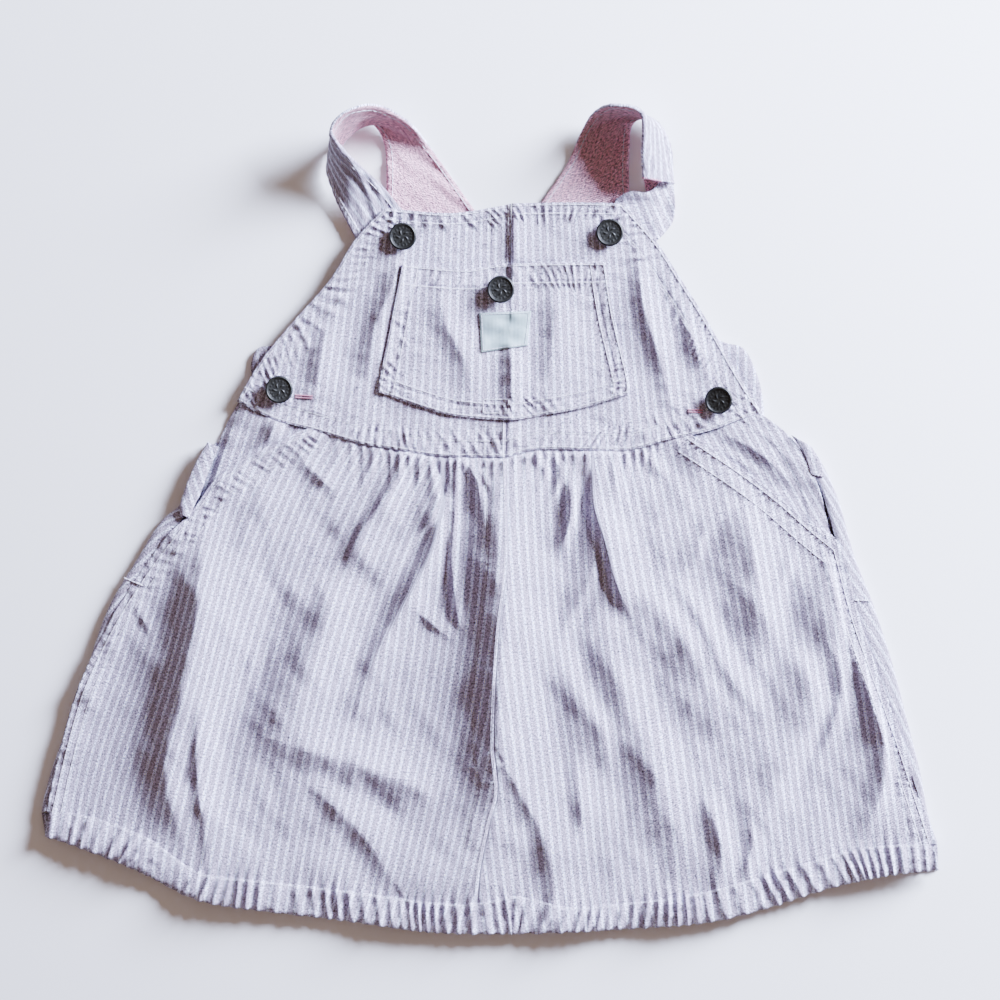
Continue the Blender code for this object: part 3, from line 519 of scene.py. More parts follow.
def strap(name, sections, flip, rows=240, cols=34):
    """One strap and its edge stitches; flip says which side of the sections is the outside."""
    one = curve([edge for edge, _ in sections], rows)
    two = curve([edge for _, edge in sections], rows)
    t = np.linspace(0, 1, cols)[None, :, None]
    middle = one[:, None] * (1 - t) + two[:, None] * t
    normal = np.cross(np.gradient(middle, axis=0), np.gradient(middle, axis=1))
    normal /= np.linalg.norm(normal, axis=-1, keepdims=True)
    along, across = run_lengths(middle, 0), run_lengths(middle, 1)
    width = across[:, -1:]
    edge = np.minimum(across, width - across)
    half = 0.5 * STRAP + 0.25 * (1 - ramp(edge, 3.0, 4.5)) - 0.55 * (1 - ramp(edge, 0.0, 0.9))
    pucker = 0.22 * ripple(along, 5.2, 1.3) * (1 - ramp(edge, 3.5, 6))
    soft = 0.35 * wrinkles(across, along, 17, 5)
    shift = (pucker + soft)[..., None] * normal
    inside = middle + normal * half[..., None] + shift
    outside = middle - normal * half[..., None] + shift
    for side in (inside, outside):
        side[..., 2] = np.maximum(side[..., 2], 0)
    centred = (across - width / 2) * (STRAP_WIDTH / np.maximum(width, STRAP_WIDTH)) ** 0.4
    threads = np.dstack([centred, along])
    outer, inner = (outside, inside) if not flip else (inside, outside)
    seams = []
    for share, column in ((STRAP_STITCH_IN / width, 3), (1 - STRAP_STITCH_IN / width, -4)):
        line = one * (1 - share) + two * share + shift[:, column]
        for away in (STRAP_STITCH_UP, -STRAP_STITCH_UP):
            seam = line + away * normal[:, column]
            seam[:, 2] = np.maximum(seam[:, 2], 0.4)
            seams.append((seam, *STRAP_STITCH))
    band = shell(name, outer, inner, threads, (twill_out, twill_in))
    return band, stitch_rows(name + "_stitches", seams)


def straps():
    left, left_stitches = strap("strap_left_cloth", STRAP_LEFT, False)
    right, right_stitches = strap("strap_right_cloth", STRAP_RIGHT, True)
    teeth = stitch_rows("strap_right_overlock", [(np.linspace(*RAW_END, 12), *OVERCAST_STITCH)], "pink")
    grid = patch(FOLD_RIGHT_TOP, FOLD_RIGHT_BOTTOM, FOLD_RIGHT_INNER, FOLD_RIGHT_OUTER, 80, 60)
    x, y = grid[..., 0], grid[..., 1]
    arch = ramp(y, 162, 167) * ramp(x, 88, 78)
    outer_edge = nearest(x, y, curve(FOLD_RIGHT_OUTER, 30))[0]
    z = 4.2 + 2.4 * arch - 2.2 * ramp(x, 84, 93) + 0.3 * wrinkles(x, y, 9, 3)
    z = z + 0.3 * (1 - ramp(outer_edge, 3, 4.5))
    over, under = np.dstack([grid, z]), np.dstack([grid, np.maximum(z - STRAP, 0)])
    fold = shell("strap_right_fold_cloth", over, under, np.dstack([x * 0.95 + y * 0.4, y]),
                 (twill_out, twill_in))
    inside = patch(*FOLD_INSIDE, 14, 16)
    low = np.dstack([inside, 1.6 + 0.3 * wrinkles(inside[..., 0], inside[..., 1], 6, 6)])
    lining = sheet_mesh("strap_right_fold_inside", low, inside, drop=0, looks=(twill_in,))
    for made, node, flat, area, pieces in (
            (left, "strap_left", (0.034, 0.215), 0.0064, [left_stitches]),
            (right, "strap_right", (0.034, 0.150), 0.0042, [right_stitches, teeth]),
            (fold, "strap_right_fold", (0.034, 0.038), None, [lining])):
        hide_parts(node)


straps()


# ---- Hip pocket facings ----
# Cloth that shows behind each slanted pocket opening, between the bib's lower corner and
# the side seam, in soft bulges that run along the opening.

# Height of the facings' outer side
FACING_TOP = 3.3
# Edges of the cloth that shows: top, bottom, left and right
FACING_LEFT = ([(-128.6, 60), (-109.5, 50.6), (-91.5, 45.9)], [(-149.5, 2), (-147, 0), (-145, -2)],
               [(-128.6, 60), (-135.5, 47), (-140.5, 34), (-147.5, 14), (-149.5, 2)],
               [(-91.5, 45.9), (-97, 38), (-118, 28), (-134, 14), (-145, -2)])
FACING_RIGHT = ([(101.8, 42.4), (113.5, 45.5), (131, 52), (138.6, 54)],
                [(160, -10), (168, -13), (175.5, -14.6)],
                [(101.8, 42.4), (106, 34), (124, 20), (144, 3), (160, -10)],
                [(138.6, 54), (150.5, 45), (159.5, 34), (168, 16), (175.5, -14.6)])
# Where the bib's waist band meets the left facing
BAND_END_LEFT = [(-129, 60.5), (-109.5, 51), (-90.5, 46)]
POCKET_OPENING_LEFT = [(-90.5, 46), (-115.5, 35), (-139, 20.5), (-149, 7.5), (-160.5, -6.5)]
POCKET_OPENING_RIGHT = [(101, 43), (116, 33), (130, 23.5), (147, 10.5), (162.5, -3), (176.5, -14.5)]
# A fold's crest from its upper to its lower end, as points (x, y, height), the reach of its
# western side and that of its eastern side
FACING_FOLDS = [
    ("left bulge", [(-106, 53, 1.5), (-110, 46, 3.8), (-116, 35, 3.8), (-127, 23, 2),
                    (-138, 10, 0.4)], 8, 7),
    ("right first", [(118, 44, 0.8), (133, 37, 2.2), (147, 26, 1.8), (157, 14, 0.4)], 5, 6),
    ("right second", [(118, 35, 0.4), (130, 27, 1.2), (141, 18, 0.4)], 4, 5),
]


def fold_height(x, y, folds, power=1.6):
    """Height that the folds add: each a rounded crest between a western and an eastern side."""
    total = np.zeros(np.shape(x))
    for _, crest, west, east in folds:
        away, side, height, _ = nearest(x, y, curve(crest, 5 * len(crest)))
        s = away / np.where(side > 0, east, west)
        s = np.sqrt(s * s + 0.02) - 0.14
        total += (height * np.clip(1 - s, 0, 1) ** power) ** 2.5
    return total ** 0.4


def hip_facings():
    left, right = patch(*FACING_LEFT, 90, 60), patch(*FACING_RIGHT, 110, 60)
    for name, grid, opening, outer_side, slant in (
            ("hip_facing_left", left, POCKET_OPENING_LEFT, -1, 0.33),
            ("hip_facing_right", right, POCKET_OPENING_RIGHT, 1, -0.55)):
        x, y = grid[..., 0], grid[..., 1]
        away, side, _, _ = nearest(x, y, opening)
        showing = ramp(away * np.sign(side) * outer_side, 0.5, 6)
        z = FACING_TOP + showing * (fold_height(x, y, FACING_FOLDS) + 0.25 * wrinkles(x, y, 11, 8))
        edge = nearest(x, y, curve(grid[:, 0 if outer_side < 0 else -1], 40))[0]
        if outer_side > 0:
            z = z + 0.5 * (1 - ramp(edge, 8, 10)) + 1.9 * ramp(away, 10, 20)
        else:
            band = nearest(x, y, BAND_END_LEFT)[0]
            z = z - 2.3 * (1 - ramp(edge, 0, 5)) + 0.9 * (1 - ramp(band, 3, 14))
        made = sheet_mesh(name + "_cloth", np.dstack([grid, z]), np.dstack([x - slant * (y - 20), y]))
        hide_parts(name)


hip_facings()


# ---- Front of the skirt ----
# Two flared panels of the striped twill, gathered to the bib and joined down the centre by
# a felled seam. They lie in long loose folds on the back panel. Each has a slanted pocket
# opening with a turned and twice-stitched edge, and is felled to the back along its side.

# Extra thickness of a turned edge
HEM_FOLD = 0.45
# Height that the gathered edge is pressed to where it goes under the bib's waist band
UNDER_BAND = 3.9
# Widths of a turned edge, of the felled centre seam and of a felled side seam
HEM_WIDTH, SEAM_WIDTH, SIDE_SEAM_WIDTH = 11.0, 12.0, 6.5
# How far the panels' sides spread over the side seams
SIDE_SPREAD = 2.3
# Edge of the bib's waist band over the facings and the skirt, from left to right
WAIST = BAND_END_LEFT + [(-66, 39), (-48, 36), (-25.5, 32.5), (8, 32), (26.5, 36), (68.5, 35.5),
                         (88.5, 40.5), (101, 43), (113.5, 46), (131, 52.5), (139, 54.5)]
SKIRT_SEAM = [(8.5, 32), (9, -20), (4.5, -61), (2, -111), (4, -138), (0, -155), (-5, -179), (-6.5, -196.5)]
WAIST_CENTRE, HEM_CENTRE = WAIST.index((8, 32)), HEM_LINE.index((-6.5, -196.5))
OPENING_STITCH, SIDE_STITCH = (2.5, 3.1, 0.42), (2.6, 3.1, 0.54)
SEAM_STITCH, TACK_STITCH = (2.2, 3.1, 0.36), (1.6, 1.9, 0.8)
BAR_TACK_LEFT, BAR_TACK_RIGHT = [(-187, -29.5), (-177, -33.5)], [(186, -41), (195, -41)]
# Long folds, in the same columns as the folds of the facings
FOLDS = [
    ("left hip", [(-146, -12, 1.5), (-147, -30, 7), (-149, -51, 9.3), (-151.5, -66, 9.6), (-155, -82, 9.2),
                  (-160, -102, 8.2), (-164, -117, 7.2), (-164.5, -133, 5.8), (-161, -148, 4.4),
                  (-155, -166, 2.2), (-150, -210, 0.3)], 17, 32),
    ("left inner", [(-146, -78, 0), (-146, -87, 3), (-148, -102, 5.6), (-149, -122, 6), (-147.5, -143, 5),
                    (-145, -161, 2.6), (-144, -210, 0.3)], 8, 14),
    ("left pleat", [(-24, 8, 2), (-29.5, -15, 5), (-38, -32, 5.2), (-46, -46, 4.6), (-57, -66, 3.4),
                    (-66, -90, 1)], 8, 16),
    ("left short pleat", [(-45, 30, 1.6), (-49, 18, 3.4), (-56, 7.5, 4), (-65, -5, 3.4), (-71, -20, 2.6),
                          (-76, -36, 0.3)], 5, 13),
    ("left branch", [(-60, 8, 0.6), (-74, -1, 2.4), (-84, -10, 1.2), (-96, -20, 0.3)], 5, 10),
    ("left of seam", [(-17.5, 27, 1.4), (-18, 0, 2.8), (-19.5, -20, 3.8), (-17.5, -41, 3),
                      (-14, -60, 0.5)], 4, 7),
    ("left hollow", [(-79, -20, 1), (-84, -51, 5.4), (-97, -87, 5.8), (-110, -112, 3.5),
                     (-116, -125, 0.5)], 24, 20),
    ("left dent", [(-116, -60, 0.4), (-122, -73, 1.8), (-128, -87, 0.4)], 6, 8),
    ("left edge", [(-180, -45, 0.4), (-175.5, -53, 1.6), (-171, -62, 0.4)], 4, 6),
    ("waist soft", [(-95, 30, 0.5), (-86, 21, 1.8), (-79, 15, 0.5)], 5, 8),
    ("short crease", [(-44.5, -41, 0.5), (-33, -50, 1.8), (-19.5, -61, 0.5)], 3.5, 9),
    ("lower left", [(-122, -110, 1), (-97, -116, 3.4), (-70, -124, 4.2), (-45, -133, 3.8),
                    (-26, -142, 1)], 16, 20),
    ("left diagonal", [(-105, -126, 0.5), (-90, -137, 2.0), (-75, -149, 3.0), (-61, -165, 3.0),
                       (-50, -183, 1.2)], 10, 18),
    ("centre", [(7.5, 30, 2), (5, 10, 6), (4.5, -20, 8), (4.5, -51, 8.8), (4, -82, 9), (4, -112, 8.5),
                (3, -137, 5.5), (-1, -155, 3.5), (-5, -172, 2), (-8, -220, 0.8)], 20, 34),
    ("centre lower", [(8, -125, 5.5), (18, -143, 4.6), (25.5, -156, 3.8), (30.5, -173, 2.8),
                      (32.5, -191, 2), (34, -220, 1.5)], 9, 24),
    ("centre branch", [(21, -50, 0.5), (29, -63, 2.2), (41, -83, 3.8), (55, -104, 3.8), (60, -122, 2),
                       (62, -140, 0.4)], 24, 14),
    ("below branch", [(42, -120, 0.4), (45, -135, 2.4), (46, -152, 2.4), (44, -170, 0.6)], 9, 10),
    ("first pleat", [(40, 30, 1.6), (41, 3, 3.6), (36, -22, 0.5)], 7, 6),
    ("second pleat", [(54, -5, 0.4), (51, -31, 3), (40, -51, 2.8), (32, -71, 0.3)], 11, 8),
    ("right pleat", [(52, 31, 2), (52.5, 20, 3.8), (53.5, 6.5, 4.8), (59, -12, 5.4), (64, -31, 5.4),
                     (69.5, -44, 3), (73, -52, 0.6)], 6, 20),
    ("right shoulder", [(72, -34, 1), (84, -44, 4.4), (96, -56, 6.2), (105, -74, 6), (112, -94, 3.5),
                        (116, -112, 0.5)], 32, 18),
    ("right branch", [(90, -28, 0.3), (101, -40, 3.4), (111, -58, 5.2), (119, -74, 4.6), (130, -90, 2.2),
                       (136, -98, 0.3)], 15, 12),
    ("right long", [(58, -41, 1.2), (60.5, -68, 3.6), (70, -95, 4.4), (76, -108, 4.6), (85, -130, 4.8),
                    (91, -150, 4), (93, -168, 2.6), (92, -186, 1)], 20, 22),
    ("right low", [(107, -138, 0.5), (113, -150, 3.4), (118, -166, 3.6), (117, -183, 1.5)], 9, 9),
    ("right hem", [(131, -150, 0.4), (134, -162, 2.4), (132, -174, 2.4), (130, -184, 1)], 5, 8),
    ("pocket hollow", [(131.5, 10, 0.6), (132.5, -10, 5.2), (136, -31, 6.2), (140, -51, 5.2),
                       (148, -68, 0.8)], 24, 14),
    ("pocket crease", [(128.5, 10, 0.4), (117, 1.5, 1.8), (108.5, -7.5, 2), (106, -20, 0.5)], 10, 4),
    ("lower crease", [(156, -15, 0.4), (150, -28, 2.2), (145, -38, 2.2), (140, -48, 0.5)], 7, 6),
    ("right hip", [(170, -18, 0.5), (174, -32, 4.0), (177, -50, 4.2), (178, -68, 1)], 26, 6),
    ("right side", [(148, -61, 0.6), (160.5, -76.5, 2.8), (166, -92, 3.6), (160.5, -110, 3.6),
                    (150.5, -127.5, 3.4), (143, -143, 2.8), (138.5, -158, 1)], 20, 11),
    ("right seam", [(172, -60, 1), (178, -75, 3.2), (179, -90, 3.2), (172, -112, 2.4),
                    (162, -132, 0.6)], 8, 8),
    ("right outer", [(187, -62, 0.6), (193, -82, 4.0), (198, -102, 4.4), (201, -120, 4.4), (200, -138, 3.6),
                     (192, -156, 1)], 10, 6),
]
# Short tucks that open out below the waist
TUCKS = [
    ("left 1", [(-70, 38, 0.8), (-80, 28, 1.6), (-88, 15, 0.3)], 5, 4),
    ("left 2", [(-57, 36, 0.8), (-61, 26, 1.6), (-66, 14, 0.4)], 4, 3),
    ("left 3", [(-32, 31, 1.2), (-27, 16, 3.2), (-29, 3, 2.8), (-41, -14, 2), (-60, -39, 0.2)], 9, 3),
    ("left 4", [(-37, 32, 0.8), (-36, 24, 1.8), (-38, 12, 0.2)], 3, 3),
    ("left 5", [(-16, 31, 1.0), (-9, 25, 2.2), (-5, 13, 2.2), (-5, -2, 0.3)], 4, 4),
    ("left 6", [(-9, 29, 0.8), (-2, 20, 1.2), (0, 12, 0.2)], 3, 3),
    ("right 1", [(24, 33, 0.8), (28, 24, 1.6), (25, 14, 0.2)], 3, 3),
    ("right 2", [(33, 32, 1.0), (36, 25, 2.1), (33, 13, 1.8), (27, 6, 0.2)], 4, 3),
    ("right 3", [(44, 34, 1.0), (46, 27, 2.0), (41, -1, 2.0), (32, -20, 0.2)], 4, 3),
    ("right 4", [(49, 34, 0.8), (48, 24, 1.4), (47, 14, 0.3)], 2.5, 2.5),
    ("right 5", [(61, 33, 0.8), (64, 22, 1.5), (68, 9, 0.2)], 4, 4),
    ("right 6", [(77, 36, 0.8), (85, 27, 1.5), (91, 20, 0.2)], 5, 5),
]
# The waist is drawn up into small gathers between these two x
GATHERS = (-75, 80)
# Where the cloth is pulled off its grain: centre x and y, reach x and y, extra lean
PULLS = [(-190, -95, 45, 90, -0.15), (48, -85, 32, 60, 0.06)]
# The pleats that the stripes run into, and how far below the waist (in 100 mm) they end
STRIPE_BREAK_LEFT = [(-24, 40), (-24, 8), (-29.5, -15), (-38, -32), (-46, -46), (-57, -66), (-66, -90),
                     (-76, -120), (-90, -220)]
STRIPE_BREAK_RIGHT = [(52, 40), (52.5, 20), (53.5, 6.5), (59, -12), (64, -31), (69.5, -44), (80, -80),
                      (100, -220)]
BREAK_END_LEFT, BREAK_END_RIGHT = 1.4, 0.95
# Slope of the stripes at the waist and far below it, and how soon it eases, in 100 mm
STRIPES_OUTER_LEFT, STRIPES_INNER_LEFT = (-0.52, -0.12, 1.0), (0.04, -0.30, 1.3)
STRIPES_OUTER_RIGHT, STRIPES_INNER_RIGHT = (0.22, 0.10, 1.5), (0.02, 0.13, 0.8)


def waist_y(x):
    """The waist seam's y at each x."""
    xs, ys = zip(*WAIST)
    return np.interp(x, xs, ys)


def hem_at(distance, width, height=HEM_FOLD):
    """Extra thickness of a turned edge, with the groove that its inner row of stitches draws."""
    groove = 0.5 * np.exp(-((distance - width + 1.4) / 0.75) ** 2)
    return height * (1 - ramp(distance, width - 0.8, width + 1.2)) - groove


def skirt_base(x, y):
    """Outer side of the front skirt with its large folds only."""
    side_left, side_right = nearest(x, y, SIDE_LEFT)[0], nearest(x, y, SIDE_RIGHT)[0]
    openings = np.minimum(nearest(x, y, POCKET_OPENING_LEFT)[0], nearest(x, y, POCKET_OPENING_RIGHT)[0])
    calm = ramp(np.minimum(side_left, side_right), 1, 7) * ramp(openings, 1, 10)
    base = FRONT_TOP + (HEM_TOP - FRONT_TOP) * ramp(-y, 100, 180)
    swells = 1.0 * wrinkles(x, y, 62, 14) + 0.6 * wrinkles(x, y, 34, 11)
    return base + 1.2 * calm * fold_height(x, y, FOLDS) + swells


def skirt_top(x, y):
    """Outer side of the front skirt with folds, tucks, gathers and seam edges."""
    below = np.maximum(waist_y(x) - y, 0)
    drawn = ramp(np.abs(np.clip(x, *GATHERS) - x), 12, 0)
    hem, _, _, hem_run = nearest(x, y, curve(HEM_LINE, 60))
    z = skirt_base(x, y) + fold_height(x, y, TUCKS, 1.2)
    z = z + 1.2 * drawn * (ripple(x, 4.9, 0.7) + 0.4) * np.exp(-below / 10)
    z = z + 1.0 * ripple(hem_run, 6.2, 1.9) * np.exp(-hem / 5)
    calm = ramp(hem, 0, 30) * ramp(below, 0, 20)
    z = z + calm * (0.3 * wrinkles(x, y, 14, 12) + 0.1 * wrinkles(x, y, 6, 13))
    for opening in (POCKET_OPENING_LEFT, POCKET_OPENING_RIGHT):
        edge, _, _, run = nearest(x, y, opening)
        z = z + 0.6 * (1 - ramp(edge, 7, 13)) + 0.3 * np.exp(-((edge - 1.1) / 1.1) ** 2)
        uneven = 0.6 + 0.5 * wrinkles(x, y, 9, 25)
        puckers = uneven * ripple(run + 0.5 * edge, 4.4, 0.3) * (1 - ramp(edge, 9, 13))
        z = z + 0.6 * puckers * ramp(edge, 1, 3)
    for seam in (SIDE_LEFT, SIDE_RIGHT):
        edge, _, _, run = nearest(x, y, seam)
        puckers = ripple(run + 0.4 * edge, 5.4, 1.1) * (1 - ramp(edge, 6, 13))
        z = z + 0.4 * (edge < 8) + hem_at(edge, SIDE_SEAM_WIDTH) + 0.25 * puckers
    edge, side, _, run = nearest(x, y, curve(SKIRT_SEAM, 40))
    on_strip = np.where(side < 0, 1.0, 0.0)
    z = z + on_strip * hem_at(edge, SEAM_WIDTH, 0.3) - 0.4 * np.exp(-(edge / 0.9) ** 2)
    z = z + 0.1 * ripple(run, 6.7, 2.2) * (1 - ramp(edge, 9, 15))
    gathered = ramp(x, -94, -88) * ramp(x, 106, 99)
    over = np.maximum(z - UNDER_BAND, 0)
    return z - gathered * over * (1 - ramp(waist_y(x) - y, -0.6, 2.6))


def lean(below, first, last, reach):
    """How far a stripe has moved sideways, its slope easing from first to last going down."""
    return 100 * (last * below + (first - last) * reach * (1 - np.exp(-below / reach)))


def skirt_threads(x, y):
    """How far across the stripes a point lies, and how far along them."""
    below = np.maximum(waist_y(x) - y, 0) / 100
    is_right = nearest(x, y, curve(SKIRT_SEAM, 40))[1] > 0
    across = np.zeros(np.shape(x))
    for half, line, end, out, outer, inner in (
            (~is_right, STRIPE_BREAK_LEFT, BREAK_END_LEFT, -1, STRIPES_OUTER_LEFT, STRIPES_INNER_LEFT),
            (is_right, STRIPE_BREAK_RIGHT, BREAK_END_RIGHT, 1, STRIPES_OUTER_RIGHT, STRIPES_INNER_RIGHT)):
        away, side, _, _ = nearest(x, y, line)
        beyond = away * np.sign(side) * out
        width = 1.2 + 12 * ramp(below, end - 0.15, end + 0.2)
        share = ramp(beyond / width, -1, 1)
        hidden = lean(end, *outer) - lean(end, *inner)
        moved = share * lean(below, *outer) + (1 - share) * (lean(below, *inner) + hidden)
        across = np.where(half, x - 8 - moved, across)
    for px, py, rx, ry, extra in PULLS:
        across = across + extra * (y - py) * np.exp(-((x - px) / rx) ** 2 - ((y - py) / ry) ** 2)
    return np.stack([across, y - 0.001 * x * x], axis=-1)


def beside(path, offset, count=120):
    """A path moved sideways, to its right where it runs downwards."""
    path = curve(path, count)
    step = np.gradient(path, axis=0)
    step /= np.linalg.norm(step, axis=1, keepdims=True)
    return path + offset * np.column_stack([-step[:, 1], step[:, 0]])


def on_surface(path, top, lift=0.22):
    """A path raised to lie on a surface."""
    return np.column_stack([path, top(path[:, 0], path[:, 1]) + lift])


def skirt_front(rows=290, cols=250):
    halves = [
        ("skirt_front_left", WAIST[2:WAIST_CENTRE + 1], [SIDE_LEFT[-1]] + HEM_LINE[1:HEM_CENTRE + 1],
         POCKET_OPENING_LEFT[:-1] + SIDE_LEFT, SKIRT_SEAM, POCKET_OPENING_LEFT, 1, SIDE_LEFT),
        ("skirt_front_right", WAIST[WAIST_CENTRE:11], HEM_LINE[HEM_CENTRE:15] + [SIDE_RIGHT[-1]],
         SKIRT_SEAM, POCKET_OPENING_RIGHT[:-1] + SIDE_RIGHT, POCKET_OPENING_RIGHT, -1, SIDE_RIGHT),
    ]
    for name, waist, hem, left, right, opening, inward, side in halves:
        grid = patch([(x, y + 1.6) for x, y in waist], hem, left, right, rows, cols)
        u = np.linspace(0, 1, cols)[None, :]
        outer = (1 - u) ** 9 if right is SKIRT_SEAM else -u ** 9
        grid[..., 0] -= SIDE_SPREAD * outer * ramp(grid[..., 1], 2, -8)
        x, y = grid[..., 0], grid[..., 1]
        made = sheet_mesh(name + "_cloth", np.dstack([grid, skirt_top(x, y)]), skirt_threads(x, y))
        seams = [(beside(opening, inward * at), OPENING_STITCH) for at in (1.4, 9.2)]
        seams += [(beside(side, inward * at), SIDE_STITCH) for at in (1.3, 5.4)]
        if right is SKIRT_SEAM:
            seams += [(beside(SKIRT_SEAM, -at), SEAM_STITCH) for at in (1.6, 10.6)]
        bar = BAR_TACK_LEFT if right is SKIRT_SEAM else BAR_TACK_RIGHT
        seams += [(np.linspace(*bar, 12), TACK_STITCH)]
        stitched = stitch_rows(name + "_stitches",
                               [(on_surface(path, skirt_top), *stitch) for path, stitch in seams])
        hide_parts(name)


skirt_front()


# ---- Front hem ----
# The front's casing with its elastic: a narrow swollen band drawn into short ribs that lean
# unevenly, with one row of stitches along its upper side.

HEM_STITCH = (2.0, 3.0, 0.36)


def front_hem(rows=16, cols=1500):
    left, right = (SIDE_LEFT[-1], HEM_EDGE[0]), (SIDE_RIGHT[-1], HEM_EDGE[-1])
    line = [left[0]] + HEM_LINE[1:-1] + [right[0]]
    grid = patch([(x, y + 1.2) for x, y in line], HEM_EDGE, left, right, rows, cols)
    x, y = grid[..., 0], grid[..., 1]
    v = np.linspace(0, 1, rows)[:, None]
    swell = 1.4 * np.sin(np.pi * (0.04 + 0.8 * v)) ** 0.6 - 0.5 * (1 - ramp(v, 0, 0.12))
    run = nearest(x, y, curve(HEM_LINE, 60))[3]
    ribs = ripple(run + 4 * v * np.sin(run / 37), 6.2, 1.9) * (0.9 - 0.25 * v)
    z = skirt_base(x, y) + swell + 1.25 * ribs + 0.2 * wrinkles(x, y, 7, 26) + 0.3
    z = z - 0.5 * ramp(v, 0.86, 1.0) ** 2
    grid[..., 1] = y - 0.55 * ribs[-1] * ramp(v, 0.5, 1.0)
    threads = np.dstack([skirt_threads(x, y)[..., 0], y])
    made = sheet_mesh("hem_front_cloth", np.dstack([grid, z]), threads, drop=1.6, inset=3)
    path = np.column_stack([grid[1], z[1] + 0.1])[::4]
    stitched = stitch_rows("hem_front_stitches", [(path, *HEM_STITCH)])
    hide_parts("hem_front")


front_hem()


# ---- Side plackets ----
# The ends of the side openings: a rounded double tongue at the left and a short turned end
# at the right, both of the same twill.

# Edges of each: top, bottom, left and right
PLACKET_LEFT = ([(-144, 40), (-138.5, 37)], [(-158, 3), (-153.5, 1)],
                [(-144, 40), (-151.5, 26), (-157.5, 10), (-158, 3)],
                [(-138.5, 37), (-143.5, 25), (-147.5, 14), (-151, 7), (-153.5, 1)])
PLACKET_RIGHT = ([(153.5, 43.5), (164, 37.5)], [(164, 23), (170, 22)],
                 [(153.5, 43.5), (160, 34), (164, 23)], [(164, 37.5), (169, 29), (170, 22)])


def plackets():
    left, right = patch(*PLACKET_LEFT, 90, 30), patch(*PLACKET_RIGHT, 50, 30)
    low = FRONT_TOP + GAP + 0.1
    for name, grid, growth, high, size in (("placket_left", left, (0.4, 1.0), 1.3, (0.0125, 0.040)),
                                           ("placket_right", right, (1.0, 0.3), 1.0, (0.012, 0.022))):
        rows, cols = grid.shape[:2]
        across = np.sin(np.pi * np.linspace(0, 1, cols))[None, :] ** 0.6
        crown = across * np.linspace(*growth, rows)[:, None]
        x, y = grid[..., 0], grid[..., 1]
        z = low + 1.1 + high * crown + 0.15 * wrinkles(x, y, 7, 4)
        made = sheet_mesh(name + "_cloth", np.dstack([grid, z]), np.dstack([x + 0.3 * y, y]), drop=1.1)
        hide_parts(name)
        0.8 * size[0] * size[1]


plackets()


# ---- Bib ----
# Two halves of the twill joined by a felled seam, hemmed along the top and the slanted
# sides and sewn over the gathered skirt with a band of double stitching.

# Height of the bib's outer side, and its rise at the upper corners, over the straps' ends
BIB_TOP, BIB_CORNER_RISE = 4.5, 1.5
TOP_HEM_WIDTH, WAIST_BAND = 6.5, 9.5
TOPSTITCH, LIP_STITCH = (2.5, 3.0, 0.54), (0.9, 0.8, 0.9)
BUTTONHOLE_LEFT, BUTTONHOLE_RIGHT = [(-99.5, 63.2), (-90.5, 62.6)], [(101, 55.8), (108.5, 55.4)]
BIB_TOP_EDGE = [(-53.5, 159), (-20.5, 156.5), (4, 160), (18, 162), (41, 162), (67.5, 161.5)]
BIB_LEFT_EDGE = [(-53.5, 159), (-68.5, 143), (-81.5, 122.5), (-99.5, 102), (-116.5, 81.5), (-129, 60.5)]
BIB_RIGHT_EDGE = [(67.5, 161.5), (84, 143), (97.5, 122.5), (110.5, 102), (126.5, 74), (139, 54.5)]
BIB_SEAM = [(11, 161.5), (10, 120), (9, 80), (8, 32)]
POCKET_MIDDLE = 7
BIB_FOLDS = [
    ("left", [(-45, 138, 0.3), (-50, 118, 2.4), (-58, 98, 2.4), (-64, 70, 0.4)], 8, 12),
    ("left of pocket", [(-80, 104, 0.3), (-86, 84, 2.2), (-90, 60, 0.5)], 8, 12),
    ("pocket diagonal", [(-27, 126, 0.3), (-22, 100, 1.9), (-14, 84, 1.6), (-8, 62, 0.3)], 9, 14),
    ("below label", [(10, 92, 0.3), (11, 80, 2.2), (11, 62, 1.4), (10, 45, 0.3)], 6, 9),
    ("pocket centre", [(32, 124, 0.3), (33, 100, 1.8), (29, 66, 0.5)], 9, 16),
    ("seam", [(12, 162, 1.4), (12, 145, 2.0), (12, 132, 1.8), (11, 110, 0.5)], 3, 12),
    ("right of pocket", [(76, 140, 0.3), (78, 112, 2.6), (86, 84, 2.2), (92, 60, 0.5)], 7, 10),
    ("right", [(98, 112, 0.3), (104, 90, 2.2), (112, 72, 0.4)], 7, 9),
]


def bib_flat(x, y):
    """Outer side of the bib's cloth without folds and hems, raised over the strap ends."""
    corner = np.minimum(np.hypot(x + 50, y - 150), np.hypot(x - 70, y - 150))
    return BIB_TOP + BIB_CORNER_RISE * (1 - ramp(corner, 28, 60))


def bib_folds(x, y):
    """Relief of the bib's folds and small creases, which die out at its hems."""
    edges = np.minimum(nearest(x, y, BIB_LEFT_EDGE)[0], nearest(x, y, BIB_RIGHT_EDGE)[0])
    soft = 0.35 * wrinkles(x, y, 22, 21) + 0.18 * wrinkles(x, y, 9, 22)
    return ramp(edges, 2, 12) * (1.5 * fold_height(x, y, BIB_FOLDS) + soft)


def under_pocket(x, y):
    """1 well inside the bib pocket's outline, 0 outside it."""
    half = np.interp(y, [51, 64, 131], [64, 62, 50])
    across = half - np.abs(x - POCKET_MIDDLE)
    along = np.minimum(131 - y, y - (50 + 0.003 * (x - 6) ** 2))
    return ramp(np.minimum(across, along), -4, 3)


